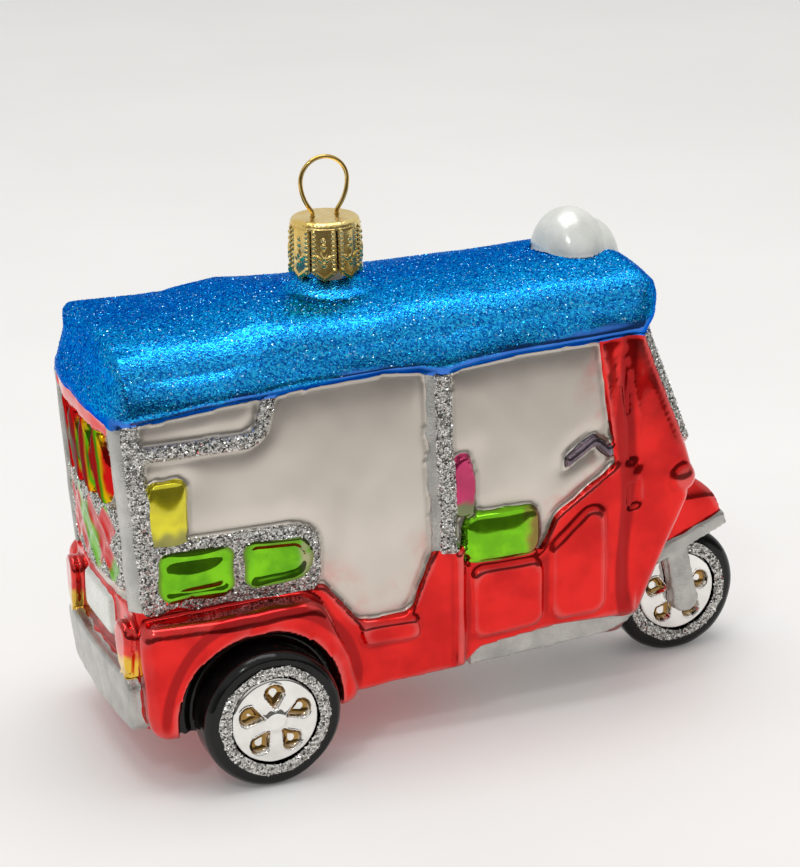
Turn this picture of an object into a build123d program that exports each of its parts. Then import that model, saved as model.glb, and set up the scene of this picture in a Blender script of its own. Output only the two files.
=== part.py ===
"""Blown glass auto-rickshaw ornament, standing on its three moulded wheels.

Frame: +X forward, +Y to the rickshaw's left, +Z up, floor at Z = 0, millimetres.
The origin is midway between the back of the roof and the front of the front tyre.
The glass is listed by its moulded features; the cap and the hanger wire are separate metal pieces.
"""

import os
from math import cos, radians, sin

from build123d import *

# Glass wall and the gaps left between metal and glass
WALL = 1.2
CAP_GAP = 0.35
WIRE_GAP = 0.12

# Wheels
WHEEL_RADIUS = 12.7
TYRE_WALL = 2.5
RIM_WIDTH = 1.9
RIM_BULGE = 0.5
REAR_WHEEL_X = -39.1
REAR_WHEEL_PROUD = 3.2
FRONT_WHEEL_X = 52.2
FRONT_WHEEL_HALF_WIDTH = 5.6
HUB_SEAT_DEPTH = 1.6
HUB_CROWN = 0.4
HUB_POCKETS = 5
HUB_POCKET_DEPTH = 0.9
WHEEL_WELL_GAP = 0.5
ARCH_GAP = 2.5
ARCH_LINER = 1.4

# Widths of the body: half the cabin's, and what stands outside it
CABIN_HALF_WIDTH = 19.6
SILL_STEP = 1.2
FENDER_FLARE = 6.2
FENDER_TAIL_FLARE = 3.8
ROOF_OVERHANG = 2.2
REAR_CORNER_RADIUS = 1.6
FRONT_CORNER_RADIUS = 3.0
BACK_MARGIN = 3.0

# Heights that stack up along the side of the body, from the axles to the roof
AXLE_DROP = 3.1
FENDER_CROWN = 4.7
RAIL_FRAME_HEIGHT = 12.1
RAIL_STRIP = 2.4
SIDE_OPENING_HEIGHT = 15.6
UPPER_RAIL_DROP = 6.7
DOOR_SILL_DROP = 8.4
PILLAR_FOOT_RISE = 2.8
SEAT_BASE_DROP = 0.4
DASH_RISE = 14.0

# Lengths along the side of the body
REAR_QUARTER = 4.3
DOOR_ARCH_LAP = 2.0
FENDER_TAIL = 2.6
BACK_BOW = 2.2
LOWER_BACK_BOW = 1.0
REAR_LEAN = 0.07
DOOR_FRONT_X = -4.8
PILLAR_POST_X = 0.9
DASH_FOOT_X = 16.6
FAIRING_REAR_X = 31.6
FRONT_BOW = 4.6

# Roof
ROOF_TAIL = 6.3
ROOF_FRONT_X = 42.0
ROOF_REAR_BOW = 2.7
ROOF_FRONT_BOW = 2.0
ROOF_RISE = 0.035
ROOF_SIDE_HEIGHT = 11.6
ROOF_CROWN = 1.6
ROOF_EAVE_RADIUS = 6.0
ROOF_LIP_RADIUS = 2.8
ROOF_NOSE_RADIUS = 8.0
ROOF_TAIL_RADIUS = 5.0
ROOF_FRONT_CORNER_RADIUS = 7.5
ROOF_REAR_CORNER_RADIUS = 5.0

# Roof lamp
LAMP_X = 31.2
LAMP_RADIUS = 6.6
LAMP_HEIGHT = 8.94
LAMP_NOSE_REACH = 3.8
LAMP_NOSE_RADIUS = 5.6
LAMP_NOSE_DROP = 2.2

# Neck, cap and hanger wire
NECK_X = -16.6
NECK_RADIUS = 5.4
NECK_BORE_RADIUS = 4.3
NECK_HEIGHT = 10.6
SHOULDER_RADIUS = 10.5
SHOULDER_RISE = 1.51
CAP_SHEET = 0.45
CAP_DEPTH = 8.6
PETALS = 8
PETAL_SLIT = 0.45
PETAL_POINT = 1.6
WIRE_RADIUS = 0.4
LOOP_RADIUS = 4.4
LOOP_RISE = 6.8
LOOP_SIDE_RADIUS = 8.0
LOOP_SIDE_TURN = 35.0
LEG_SPACING = 4.6
LEG_SPREAD = 6.6
LEG_DEPTH = 10.0

# Relief heights of the moulded features
RAIL_HEIGHT = 1.3
PILLAR_HEIGHT = 1.9
PANE_HEIGHT = 0.7
SEAT_HEIGHT = 1.5
PANEL_HEIGHT = 0.9
BACK_RELIEF = 1.0
LAMP_RELIEF = 2.0
BUMPER_RELIEF = 2.4
GROOVE_DEPTH = 0.6
LATTICE_RISE = 7.3
PETAL_GAP = 0.45
TRIM_HEIGHT = 3.2

# Sizes that follow from those above
RIM_OUTER = WHEEL_RADIUS - TYRE_WALL
RIM_INNER = RIM_OUTER - RIM_WIDTH
TYRE_SHOULDER = 0.8 * TYRE_WALL
ARCH_RADIUS = WHEEL_RADIUS + ARCH_GAP
SILL_HALF_WIDTH = CABIN_HALF_WIDTH + SILL_STEP
FENDER_HALF_WIDTH = SILL_HALF_WIDTH + FENDER_FLARE
ROOF_HALF_WIDTH = CABIN_HALF_WIDTH + ROOF_OVERHANG
REAR_TYRE_FACE_Y = FENDER_HALF_WIDTH + REAR_WHEEL_PROUD
REAR_SEAT_Y = REAR_TYRE_FACE_Y - HUB_SEAT_DEPTH
FRONT_SEAT_Y = FRONT_WHEEL_HALF_WIDTH - HUB_SEAT_DEPTH
ARCH_FLOOR_Y = SILL_HALF_WIDTH + ARCH_LINER
BODY_BOTTOM_Z = WHEEL_RADIUS - AXLE_DROP
RAIL_BASE_Z = WHEEL_RADIUS + ARCH_RADIUS + FENDER_CROWN
RAIL_TOP_Z = RAIL_BASE_Z + RAIL_FRAME_HEIGHT
UPPER_RAIL_Z = RAIL_TOP_Z + SIDE_OPENING_HEIGHT
DOOR_SILL_Z = RAIL_BASE_Z - DOOR_SILL_DROP
PILLAR_FOOT_Z = RAIL_BASE_Z + PILLAR_FOOT_RISE
SEAT_BASE_Z = RAIL_BASE_Z - SEAT_BASE_DROP
DASH_TOP_Z = RAIL_BASE_Z + DASH_RISE
ROOF_EDGE_Z = UPPER_RAIL_Z + UPPER_RAIL_DROP
BODY_REAR_X = REAR_WHEEL_X - ARCH_RADIUS - REAR_QUARTER
DOOR_REAR_X = REAR_WHEEL_X + ARCH_RADIUS - DOOR_ARCH_LAP
FENDER_REAR_X = BODY_REAR_X - FENDER_TAIL
ROOF_REAR_X = BODY_REAR_X - ROOF_TAIL
PANE_MIDDLE_Z = RAIL_BASE_Z + RAIL_FRAME_HEIGHT / 2
PANE_TALL = RAIL_FRAME_HEIGHT - 2 * RAIL_STRIP
MUDGUARD_HALF_WIDTH = FRONT_WHEEL_HALF_WIDTH + 2.6
FORK_FACE_Y = FRONT_WHEEL_HALF_WIDTH + RIM_BULGE
FAR = 80.0

# Cabin block, as plan outlines at two levels
CABIN_SECTIONS = [
    # level, half width, rear corner, front
    (DOOR_SILL_Z - 4.2, CABIN_HALF_WIDTH, BODY_REAR_X + 0.2, FAIRING_REAR_X + 3.0),
    (ROOF_EDGE_Z + 9.0, CABIN_HALF_WIDTH, BODY_REAR_X - 3.3, FAIRING_REAR_X - 1.5),
]

# Lower body, as plan outlines from the bottom up
LOWER_SECTIONS = [
    # level, half width, rear corner, front
    (BODY_BOTTOM_Z - 5.6, SILL_HALF_WIDTH - 1.0, BODY_REAR_X - 0.2, FAIRING_REAR_X + 4.0),
    (BODY_BOTTOM_Z + 8.4, SILL_HALF_WIDTH, BODY_REAR_X - 1.6, FAIRING_REAR_X + 4.0),
    (DASH_TOP_Z + 3.4, SILL_HALF_WIDTH, BODY_REAR_X - 2.0, FAIRING_REAR_X + 4.0),
]

# Front fairing, as plan outlines from the keel up to the roof
FAIRING_SECTIONS = [
    # level, half width, rear, front corner
    (BODY_BOTTOM_Z - 0.6, SILL_HALF_WIDTH - 10.0, FAIRING_REAR_X, FAIRING_REAR_X + 5.4),
    (BODY_BOTTOM_Z + 6.9, SILL_HALF_WIDTH - 1.2, FAIRING_REAR_X, FAIRING_REAR_X + 5.4),
    (DOOR_SILL_Z, SILL_HALF_WIDTH, FAIRING_REAR_X, FAIRING_REAR_X + 8.0),
    (DASH_TOP_Z - 9.1, SILL_HALF_WIDTH, FAIRING_REAR_X, FAIRING_REAR_X + 14.4),
    (DASH_TOP_Z - 3.6, SILL_HALF_WIDTH, FAIRING_REAR_X, FAIRING_REAR_X + 15.6),
    (DASH_TOP_Z + 1.4, SILL_HALF_WIDTH - 0.2, FAIRING_REAR_X, FAIRING_REAR_X + 14.2),
    (ROOF_EDGE_Z + 9.0, SILL_HALF_WIDTH - 0.4, FAIRING_REAR_X - 4.2, FAIRING_REAR_X + 3.4),
]

SIDE = Plane.XZ.offset(CABIN_HALF_WIDTH)
SILL_SIDE = Plane.XZ.offset(SILL_HALF_WIDTH)
BEHIND = Plane.YZ.offset(ROOF_REAR_X - 6.0)


def roof_edge(x):
    """Level of the roof's lower edge at a station along the body."""
    return ROOF_EDGE_Z + (x - ROOF_REAR_X) * ROOF_RISE


def post_x(z):
    """Station of the leaning rear pillar's back edge at a level."""
    return BODY_REAR_X - 0.2 - REAR_LEAN * (z - RAIL_BASE_Z)


SHOULDER_TOP_Z = roof_edge(NECK_X) + ROOF_SIDE_HEIGHT + ROOF_CROWN + SHOULDER_RISE
NECK_TOP_Z = SHOULDER_TOP_Z + NECK_HEIGHT
CAP_SKIRT_Z = NECK_TOP_Z - CAP_DEPTH
LOOP_CENTRE_Z = NECK_TOP_Z + LOOP_RISE
LEG_BOTTOM_Z = NECK_TOP_Z - LEG_DEPTH
LAMP_TOP_Z = roof_edge(LAMP_X) + ROOF_SIDE_HEIGHT + LAMP_HEIGHT


def rear_block(sections, bow, inset, rear_grow=0.0):
    """Loft plan outlines that have straight sides, rounded rear corners and a bowed back."""
    back = inset - rear_grow
    with BuildPart() as block:
        for level, half_width, corner, front in sections:
            side = half_width - inset
            with BuildSketch(Plane.XY.offset(level)) as plan:
                with BuildLine():
                    Line((front, -side), (corner + back, -side))
                    ThreePointArc(
                        (corner + back, -side), (corner + back - bow, 0), (corner + back, side)
                    )
                    Polyline((corner + back, side), (front, side), (front, -side))
                make_face()
                fillet(plan.vertices().group_by(Axis.X)[0], REAR_CORNER_RADIUS - inset / 2)
        loft(ruled=True)
    return block.part


def fairing_block(grow, rear_open=0.0):
    """Loft plan outlines that have straight sides, rounded front corners and a bowed front."""
    with BuildPart() as block:
        for level, half_width, rear, corner in FAIRING_SECTIONS:
            side = half_width + grow
            back = rear - rear_open
            nose = corner + grow
            with BuildSketch(Plane.XY.offset(level)) as plan:
                with BuildLine():
                    Line((back, -side), (nose, -side))
                    ThreePointArc((nose, -side), (nose + FRONT_BOW, 0), (nose, side))
                    Polyline((nose, side), (back, side), (back, -side))
                make_face()
                fillet(plan.vertices().group_by(Axis.X)[-1], FRONT_CORNER_RADIUS + grow / 2)
        loft(ruled=True)
    return block.part


def roof_block(inset):
    """Roof canopy: where a crowned cross-section, a round-ended side view and a plan outline meet."""
    side = ROOF_HALF_WIDTH - inset
    bottom = ROOF_EDGE_Z + inset
    shoulder = ROOF_EDGE_Z + ROOF_SIDE_HEIGHT - inset
    rear = ROOF_REAR_X + inset
    front = ROOF_FRONT_X - inset
    low_rear = roof_edge(rear) + inset
    low_front = roof_edge(front) + inset
    tall = ROOF_SIDE_HEIGHT + ROOF_CROWN + 0.2 * WALL - 2 * inset
    nose = ROOF_NOSE_RADIUS - inset
    tail = ROOF_TAIL_RADIUS - inset
    with BuildPart() as block:
        with BuildSketch(Plane.YZ.offset(ROOF_REAR_X)) as section:
            with BuildLine():
                Polyline((-side, shoulder), (-side, bottom), (side, bottom), (side, shoulder))
                ThreePointArc((side, shoulder), (0, shoulder + ROOF_CROWN), (-side, shoulder))
            make_face()
            fillet(section.vertices().group_by(Axis.Y)[-1], ROOF_EAVE_RADIUS - inset)
            fillet(section.vertices().group_by(Axis.Y)[0], ROOF_LIP_RADIUS - inset)
        extrude(amount=ROOF_FRONT_X - ROOF_REAR_X, dir=(1, 0, ROOF_RISE))
        with BuildSketch(Plane.XY) as plan:
            with BuildLine():
                ThreePointArc((rear + ROOF_REAR_BOW, side), (rear, 0), (rear + ROOF_REAR_BOW, -side))
                Line((rear + ROOF_REAR_BOW, -side), (front - ROOF_FRONT_BOW, -side))
                ThreePointArc((front - ROOF_FRONT_BOW, -side), (front, 0), (front - ROOF_FRONT_BOW, side))
                Line((front - ROOF_FRONT_BOW, side), (rear + ROOF_REAR_BOW, side))
            make_face()
            fillet(plan.vertices().group_by(Axis.X)[0], ROOF_REAR_CORNER_RADIUS - inset)
            fillet(plan.vertices().group_by(Axis.X)[-1], ROOF_FRONT_CORNER_RADIUS - inset)
        extrude(amount=FAR * 2, mode=Mode.INTERSECT)
        with BuildSketch(Plane.XZ):
            with BuildLine():
                FilletPolyline(
                    (rear, low_rear),
                    (front, low_front),
                    (front, low_front + tall),
                    (rear, low_rear + tall),
                    radius=[0.4 * tail, 0.4 * nose, nose, tail],
                    close=True,
                )
            make_face()
        extrude(amount=FAR, both=True, mode=Mode.INTERSECT)
    return block.part


# Outer envelopes and inner hollows of the blown shape

with BuildPart() as roof_envelope:
    add(roof_block(0))

with BuildPart() as roof_hollow:
    add(roof_block(WALL))

with BuildPart() as cabin_envelope:
    add(rear_block(CABIN_SECTIONS, BACK_BOW, 0))

with BuildPart() as cabin_hollow:
    add(rear_block(CABIN_SECTIONS, BACK_BOW, WALL))

with BuildPart() as lower_envelope:
    add(rear_block(LOWER_SECTIONS, LOWER_BACK_BOW, 0))

with BuildPart() as lower_hollow:
    add(rear_block(LOWER_SECTIONS, LOWER_BACK_BOW, WALL))

with BuildPart() as fairing_envelope:
    add(fairing_block(0))

with BuildPart() as fairing_hollow:
    add(fairing_block(-WALL, rear_open=10.0))

# Everything above the line where the pearl cabin meets the red lower body
with BuildPart() as above_waist:
    with BuildSketch(Plane.XZ):
        with BuildLine():
            FilletPolyline(
                (-FAR, RAIL_BASE_Z),
                (DOOR_REAR_X, RAIL_BASE_Z),
                (DOOR_REAR_X + 6.5, DOOR_SILL_Z),
                (DOOR_FRONT_X - 4.5, DOOR_SILL_Z),
                (DOOR_FRONT_X, PILLAR_FOOT_Z),
                (PILLAR_POST_X, PILLAR_FOOT_Z),
                (PILLAR_POST_X, SEAT_BASE_Z),
                (DASH_FOOT_X, SEAT_BASE_Z),
                (DASH_FOOT_X + 3.0, DASH_TOP_Z - 8.0),
                (FAIRING_REAR_X, DASH_TOP_Z),
                (FAR, DASH_TOP_Z),
                radius=[2.5, 2.5, 2.5, 1.0, 0.0, 0.0, 1.2, 2.5, 0.0],
            )
            Polyline((FAR, DASH_TOP_Z), (FAR, 2 * FAR), (-FAR, 2 * FAR), (-FAR, RAIL_BASE_Z))
        make_face()
    extrude(amount=FAR, both=True)

# Everything above the underside of the roof
with BuildPart() as above_roof_edge:
    with BuildSketch(Plane.XZ):
        with BuildLine():
            Polyline(
                (-FAR, roof_edge(-FAR)),
                (FAR, roof_edge(FAR)),
                (FAR, 2 * FAR),
                (-FAR, 2 * FAR),
                (-FAR, roof_edge(-FAR)),
            )
        make_face()
    extrude(amount=FAR, both=True)

# Everything below the bottom of the red lower body
with BuildPart() as below_body:
    with BuildSketch(Plane.XZ):
        with BuildLine():
            Polyline(
                (-FAR, BODY_BOTTOM_Z),
                (DOOR_REAR_X + 5.9, BODY_BOTTOM_Z + 1.0),
                (PILLAR_POST_X, BODY_BOTTOM_Z + 2.4),
                (PILLAR_POST_X + 3.1, BODY_BOTTOM_Z + 5.4),
                (DASH_FOOT_X + 2.4, BODY_BOTTOM_Z + 7.4),
                (FAR, BODY_BOTTOM_Z + 7.0),
                (FAR, -FAR),
                (-FAR, -FAR),
                (-FAR, BODY_BOTTOM_Z),
            )
        make_face()
    extrude(amount=FAR, both=True)

# Room for the front wheel under the fairing and mudguard
with BuildPart() as front_wheel_room:
    with BuildSketch(Plane.XZ):
        with Locations((FRONT_WHEEL_X, WHEEL_RADIUS)):
            Circle(WHEEL_RADIUS + WHEEL_WELL_GAP)
    extrude(amount=FRONT_WHEEL_HALF_WIDTH + WHEEL_WELL_GAP, both=True)

# Opening in the underside of the roof, over the hollow cabin and fairing
with BuildPart() as roof_opening:
    with BuildSketch(Plane.XY.offset(ROOF_EDGE_Z - 5)):
        with Locations(((BODY_REAR_X + FAIRING_REAR_X) / 2, 0)):
            RectangleRounded(FAIRING_REAR_X - BODY_REAR_X, 2 * (CABIN_HALF_WIDTH - 2 * WALL), 3.0)
    extrude(amount=12)

# Bore of the neck, carried through the roof
with BuildPart() as neck_bore:
    with BuildSketch(Plane.XY.offset(SHOULDER_TOP_Z - 12)):
        with Locations((NECK_X, 0)):
            Circle(NECK_BORE_RADIUS)
    extrude(amount=40)

# Dark groove moulded down the side of the front pillar
with BuildPart() as pillar_groove:
    with BuildSketch(Plane.XZ.offset(SILL_HALF_WIDTH - GROOVE_DEPTH)):
        with BuildLine():
            Polyline(
                (FAIRING_REAR_X + 2.6, DASH_TOP_Z - 9.0),
                (FAIRING_REAR_X + 4.8, DASH_TOP_Z - 8.4),
                (FAIRING_REAR_X + 4.6, DASH_TOP_Z + 8.0),
                (FAIRING_REAR_X + 1.6, ROOF_EDGE_Z + 1.6),
                (FAIRING_REAR_X - 0.2, ROOF_EDGE_Z + 1.6),
                (FAIRING_REAR_X + 2.4, DASH_TOP_Z + 8.0),
                (FAIRING_REAR_X + 2.6, DASH_TOP_Z - 9.0),
            )
        make_face()
    extrude(amount=4)
    mirror(about=Plane.XZ)

# Main glass features

with BuildPart() as roof:
    add(roof_envelope.part)
    with BuildSketch(Plane.XY.offset(SHOULDER_TOP_Z - 6.0)):
        with Locations((NECK_X, 0)):
            Circle(SHOULDER_RADIUS)
    with BuildSketch(Plane.XY.offset(SHOULDER_TOP_Z)):
        with Locations((NECK_X, 0)):
            Circle(NECK_RADIUS + 0.8)
    loft(ruled=True)
    add(roof_hollow.part, mode=Mode.SUBTRACT)
    add(neck_bore.part, mode=Mode.SUBTRACT)
    add(roof_opening.part, mode=Mode.SUBTRACT)

with BuildPart() as cabin:
    add(cabin_envelope.part)
    add(above_waist.part, mode=Mode.INTERSECT)
    add(cabin_hollow.part, mode=Mode.SUBTRACT)
    add(fairing_envelope.part, mode=Mode.SUBTRACT)
    add(above_roof_edge.part, mode=Mode.SUBTRACT)

with BuildPart() as lower_body:
    add(lower_envelope.part)
    add(above_waist.part, mode=Mode.SUBTRACT)
    add(below_body.part, mode=Mode.SUBTRACT)
    add(lower_hollow.part - Pos(0, 0, WALL) * below_body.part, mode=Mode.SUBTRACT)
    add(fairing_envelope.part, mode=Mode.SUBTRACT)

with BuildPart() as front_fairing:
    add(fairing_envelope.part)
    add(fairing_hollow.part, mode=Mode.SUBTRACT)
    add(above_roof_edge.part, mode=Mode.SUBTRACT)
    add(front_wheel_room.part, mode=Mode.SUBTRACT)
    add(pillar_groove.part, mode=Mode.SUBTRACT)

# Neck of the glass, left open at the top

with BuildPart() as neck:
    with BuildSketch(Plane.XY.offset(SHOULDER_TOP_Z)):
        with Locations((NECK_X, 0)):
            Circle(NECK_RADIUS)
            Circle(NECK_BORE_RADIUS, mode=Mode.SUBTRACT)
    extrude(amount=NECK_TOP_Z - SHOULDER_TOP_Z)

# White lamp lump on the front of the roof: a dome with a lower nose before it

LAMP_FOOT_Z = ROOF_EDGE_Z + ROOF_SIDE_HEIGHT - 2.0
NOSE_X = LAMP_X + LAMP_NOSE_REACH
NOSE_TOP_Z = LAMP_TOP_Z - LAMP_NOSE_DROP

with BuildPart() as roof_lamp:
    with BuildSketch(Plane.XZ):
        with BuildLine():
            Line((LAMP_X, LAMP_FOOT_Z), (LAMP_X, LAMP_TOP_Z))
            ThreePointArc(
                (LAMP_X, LAMP_TOP_Z),
                (LAMP_X + 0.76 * LAMP_RADIUS, LAMP_TOP_Z - 2.6),
                (LAMP_X + LAMP_RADIUS, LAMP_TOP_Z - 8.4),
            )
            Polyline(
                (LAMP_X + LAMP_RADIUS, LAMP_TOP_Z - 8.4),
                (LAMP_X + LAMP_RADIUS - 0.8, LAMP_FOOT_Z),
                (LAMP_X, LAMP_FOOT_Z),
            )
        make_face()
    revolve(axis=Axis((LAMP_X, 0, 0), (0, 0, 1)))
    with BuildSketch(Plane.XZ):
        with BuildLine():
            Line((NOSE_X, LAMP_FOOT_Z), (NOSE_X, NOSE_TOP_Z))
            ThreePointArc(
                (NOSE_X, NOSE_TOP_Z),
                (NOSE_X + 0.76 * LAMP_NOSE_RADIUS, NOSE_TOP_Z - 2.3),
                (NOSE_X + LAMP_NOSE_RADIUS, NOSE_TOP_Z - 7.0),
            )
            Polyline(
                (NOSE_X + LAMP_NOSE_RADIUS, NOSE_TOP_Z - 7.0),
                (NOSE_X + LAMP_NOSE_RADIUS, LAMP_FOOT_Z),
                (NOSE_X, LAMP_FOOT_Z),
            )
        make_face()
    revolve(axis=Axis((NOSE_X, 0, 0), (0, 0, 1)))
    add(roof_envelope.part, mode=Mode.SUBTRACT)

# Rear fenders: raised quarters outside the lower body, with round wheel arches

with BuildPart() as arch_cutter:
    with BuildSketch(SILL_SIDE):
        with Locations((REAR_WHEEL_X - 0.9, WHEEL_RADIUS)):
            Circle(ARCH_RADIUS)
    extrude(amount=3 * FENDER_FLARE)

FENDER_FRONT_X = DOOR_REAR_X + 5.9

with BuildPart() as rear_fenders:
    with BuildSketch(SILL_SIDE):
        with BuildLine():
            FilletPolyline(
                (FENDER_REAR_X + 1.0, BODY_BOTTOM_Z + 4.4),
                (FENDER_REAR_X, RAIL_BASE_Z - 1.2),
                (DOOR_REAR_X - 2.1, RAIL_BASE_Z - 0.8),
                (DOOR_REAR_X + 3.3, DOOR_SILL_Z - 4.2),
                (FENDER_FRONT_X, BODY_BOTTOM_Z + 1.0),
                (FENDER_REAR_X + 2.2, BODY_BOTTOM_Z),
                radius=[3.2, 3.2, 5.0, 8.0, 3.2, 3.2],
                close=True,
            )
        make_face()
    extrude(amount=2 * FENDER_FLARE)
    with BuildSketch(Plane.XY):
        with BuildLine():
            ThreePointArc(
                (FENDER_REAR_X - 1.0, -SILL_HALF_WIDTH - FENDER_TAIL_FLARE),
                (REAR_WHEEL_X, -FENDER_HALF_WIDTH),
                (FENDER_FRONT_X + 1.0, -SILL_HALF_WIDTH - FENDER_TAIL_FLARE),
            )
            Polyline(
                (FENDER_FRONT_X + 1.0, -SILL_HALF_WIDTH - FENDER_TAIL_FLARE),
                (FENDER_FRONT_X + 1.0, -SILL_HALF_WIDTH),
                (FENDER_REAR_X - 1.0, -SILL_HALF_WIDTH),
                (FENDER_REAR_X - 1.0, -SILL_HALF_WIDTH - FENDER_TAIL_FLARE),
            )
        make_face()
    extrude(amount=FAR, mode=Mode.INTERSECT)
    bulge = rear_fenders.faces().sort_by(Axis.Y)[0]
    fillet(bulge.edges(), 0.6 * FENDER_TAIL_FLARE)
    add(arch_cutter.part, mode=Mode.SUBTRACT)
    mirror(about=Plane.XZ)

# Black linings of the rear wheel arches

with BuildPart() as wheel_arches:
    with BuildSketch(SILL_SIDE):
        with Locations((REAR_WHEEL_X - 0.9, WHEEL_RADIUS)):
            Circle(ARCH_RADIUS)
        with Locations((REAR_WHEEL_X, BODY_BOTTOM_Z - ARCH_RADIUS)):
            Rectangle(4 * ARCH_RADIUS, 2 * ARCH_RADIUS, mode=Mode.SUBTRACT)
    extrude(amount=ARCH_LINER)
    mirror(about=Plane.XZ)

REAR_AXLE = Plane(origin=(REAR_WHEEL_X, 0, WHEEL_RADIUS), x_dir=(0, -1, 0), z_dir=(-1, 0, 0))
FRONT_AXLE = Plane(origin=(FRONT_WHEEL_X, 0, WHEEL_RADIUS), x_dir=(0, -1, 0), z_dir=(-1, 0, 0))
REAR_AXIS = Axis((REAR_WHEEL_X, 0, WHEEL_RADIUS), (0, 1, 0))
FRONT_AXIS = Axis((FRONT_WHEEL_X, 0, WHEEL_RADIUS), (0, 1, 0))

with BuildPart() as rear_tyres:
    with BuildSketch(REAR_AXLE):
        with BuildLine():
            FilletPolyline(
                (ARCH_FLOOR_Y, 0),
                (ARCH_FLOOR_Y, WHEEL_RADIUS),
                (REAR_TYRE_FACE_Y, WHEEL_RADIUS),
                (REAR_TYRE_FACE_Y, RIM_OUTER),
                (REAR_SEAT_Y, RIM_OUTER),
                (REAR_SEAT_Y, 0),
                radius=[TYRE_SHOULDER, TYRE_SHOULDER, 0.0, 0.0],
            )
            Line((REAR_SEAT_Y, 0), (ARCH_FLOOR_Y, 0))
        make_face()
    revolve(axis=REAR_AXIS)
    mirror(about=Plane.XZ)

with BuildPart() as rear_rims:
    with BuildSketch(REAR_AXLE):
        with BuildLine():
            Polyline(
                (REAR_TYRE_FACE_Y, RIM_OUTER),
                (REAR_SEAT_Y, RIM_OUTER),
                (REAR_SEAT_Y, RIM_INNER),
                (REAR_TYRE_FACE_Y, RIM_INNER),
                (REAR_TYRE_FACE_Y + RIM_BULGE, (RIM_INNER + RIM_OUTER) / 2),
                (REAR_TYRE_FACE_Y, RIM_OUTER),
            )
        make_face()
    revolve(axis=REAR_AXIS)
    mirror(about=Plane.XZ)

# One teardrop recess of a hub, with its point towards the axle
with BuildSketch() as teardrop:
    with Locations((0.70 * RIM_INNER, 0)):
        Circle(0.19 * RIM_INNER)
    with Locations((0.40 * RIM_INNER, 0)):
        Circle(0.07 * RIM_INNER)
    make_hull()

with BuildPart() as rear_hubs:
    with BuildSketch(Plane.XZ.offset(REAR_SEAT_Y)):
        with Locations((REAR_WHEEL_X, WHEEL_RADIUS)):
            Circle(RIM_INNER)
    extrude(amount=HUB_SEAT_DEPTH)
    with BuildSketch(Plane.XZ.offset(REAR_TYRE_FACE_Y)):
        with Locations((REAR_WHEEL_X, WHEEL_RADIUS)):
            Circle(0.26 * RIM_INNER)
    extrude(amount=HUB_CROWN, taper=20)
    with BuildSketch(Plane.XZ.offset(REAR_TYRE_FACE_Y - HUB_POCKET_DEPTH)):
        with Locations((REAR_WHEEL_X, WHEEL_RADIUS)):
            with PolarLocations(0, HUB_POCKETS, start_angle=18):
                add(teardrop.sketch)
    extrude(amount=4 * HUB_POCKET_DEPTH, mode=Mode.SUBTRACT)
    mirror(about=Plane.XZ)

# Front wheel, moulded between the fork legs

with BuildPart() as front_tyre:
    with BuildSketch(FRONT_AXLE):
        with BuildLine():
            FilletPolyline(
                (0, WHEEL_RADIUS),
                (FRONT_WHEEL_HALF_WIDTH, WHEEL_RADIUS),
                (FRONT_WHEEL_HALF_WIDTH, RIM_OUTER),
                (FRONT_SEAT_Y, RIM_OUTER),
                (FRONT_SEAT_Y, 0),
                radius=[TYRE_SHOULDER, 0.0, 0.0],
            )
            Polyline((FRONT_SEAT_Y, 0), (0, 0), (0, WHEEL_RADIUS))
        make_face()
    revolve(axis=FRONT_AXIS)
    mirror(about=Plane.XZ)

with BuildPart() as front_rims:
    with BuildSketch(FRONT_AXLE):
        with BuildLine():
            Polyline(
                (FRONT_WHEEL_HALF_WIDTH, RIM_OUTER),
                (FRONT_SEAT_Y, RIM_OUTER),
                (FRONT_SEAT_Y, RIM_INNER),
                (FRONT_WHEEL_HALF_WIDTH, RIM_INNER),
                (FRONT_WHEEL_HALF_WIDTH + RIM_BULGE, (RIM_INNER + RIM_OUTER) / 2),
                (FRONT_WHEEL_HALF_WIDTH, RIM_OUTER),
            )
        make_face()
    revolve(axis=FRONT_AXIS)
    mirror(about=Plane.XZ)

with BuildPart() as front_hubs:
    with BuildSketch(Plane.XZ.offset(FRONT_SEAT_Y)):
        with Locations((FRONT_WHEEL_X, WHEEL_RADIUS)):
            Circle(RIM_INNER)
    extrude(amount=HUB_SEAT_DEPTH)
    with BuildSketch(Plane.XZ.offset(FRONT_WHEEL_HALF_WIDTH - HUB_POCKET_DEPTH)):
        with Locations((FRONT_WHEEL_X, WHEEL_RADIUS)):
            with PolarLocations(0, HUB_POCKETS, start_angle=18):
                add(teardrop.sketch)
    extrude(amount=4 * HUB_POCKET_DEPTH, mode=Mode.SUBTRACT)
    mirror(about=Plane.XZ)

# Front mudguard with its grey lip, and the fork legs under it

LIP_REAR_X = FRONT_WHEEL_X - WHEEL_RADIUS - 1.5
LIP_BEND_X = FRONT_WHEEL_X - 5.4
LIP_TIP_X = FRONT_WHEEL_X + WHEEL_RADIUS - 3.7
LIP_Z = 2 * WHEEL_RADIUS - 5.0
LIP_TIP_Z = 2 * WHEEL_RADIUS + 1.0
LIP_THICKNESS = 2.8

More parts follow.
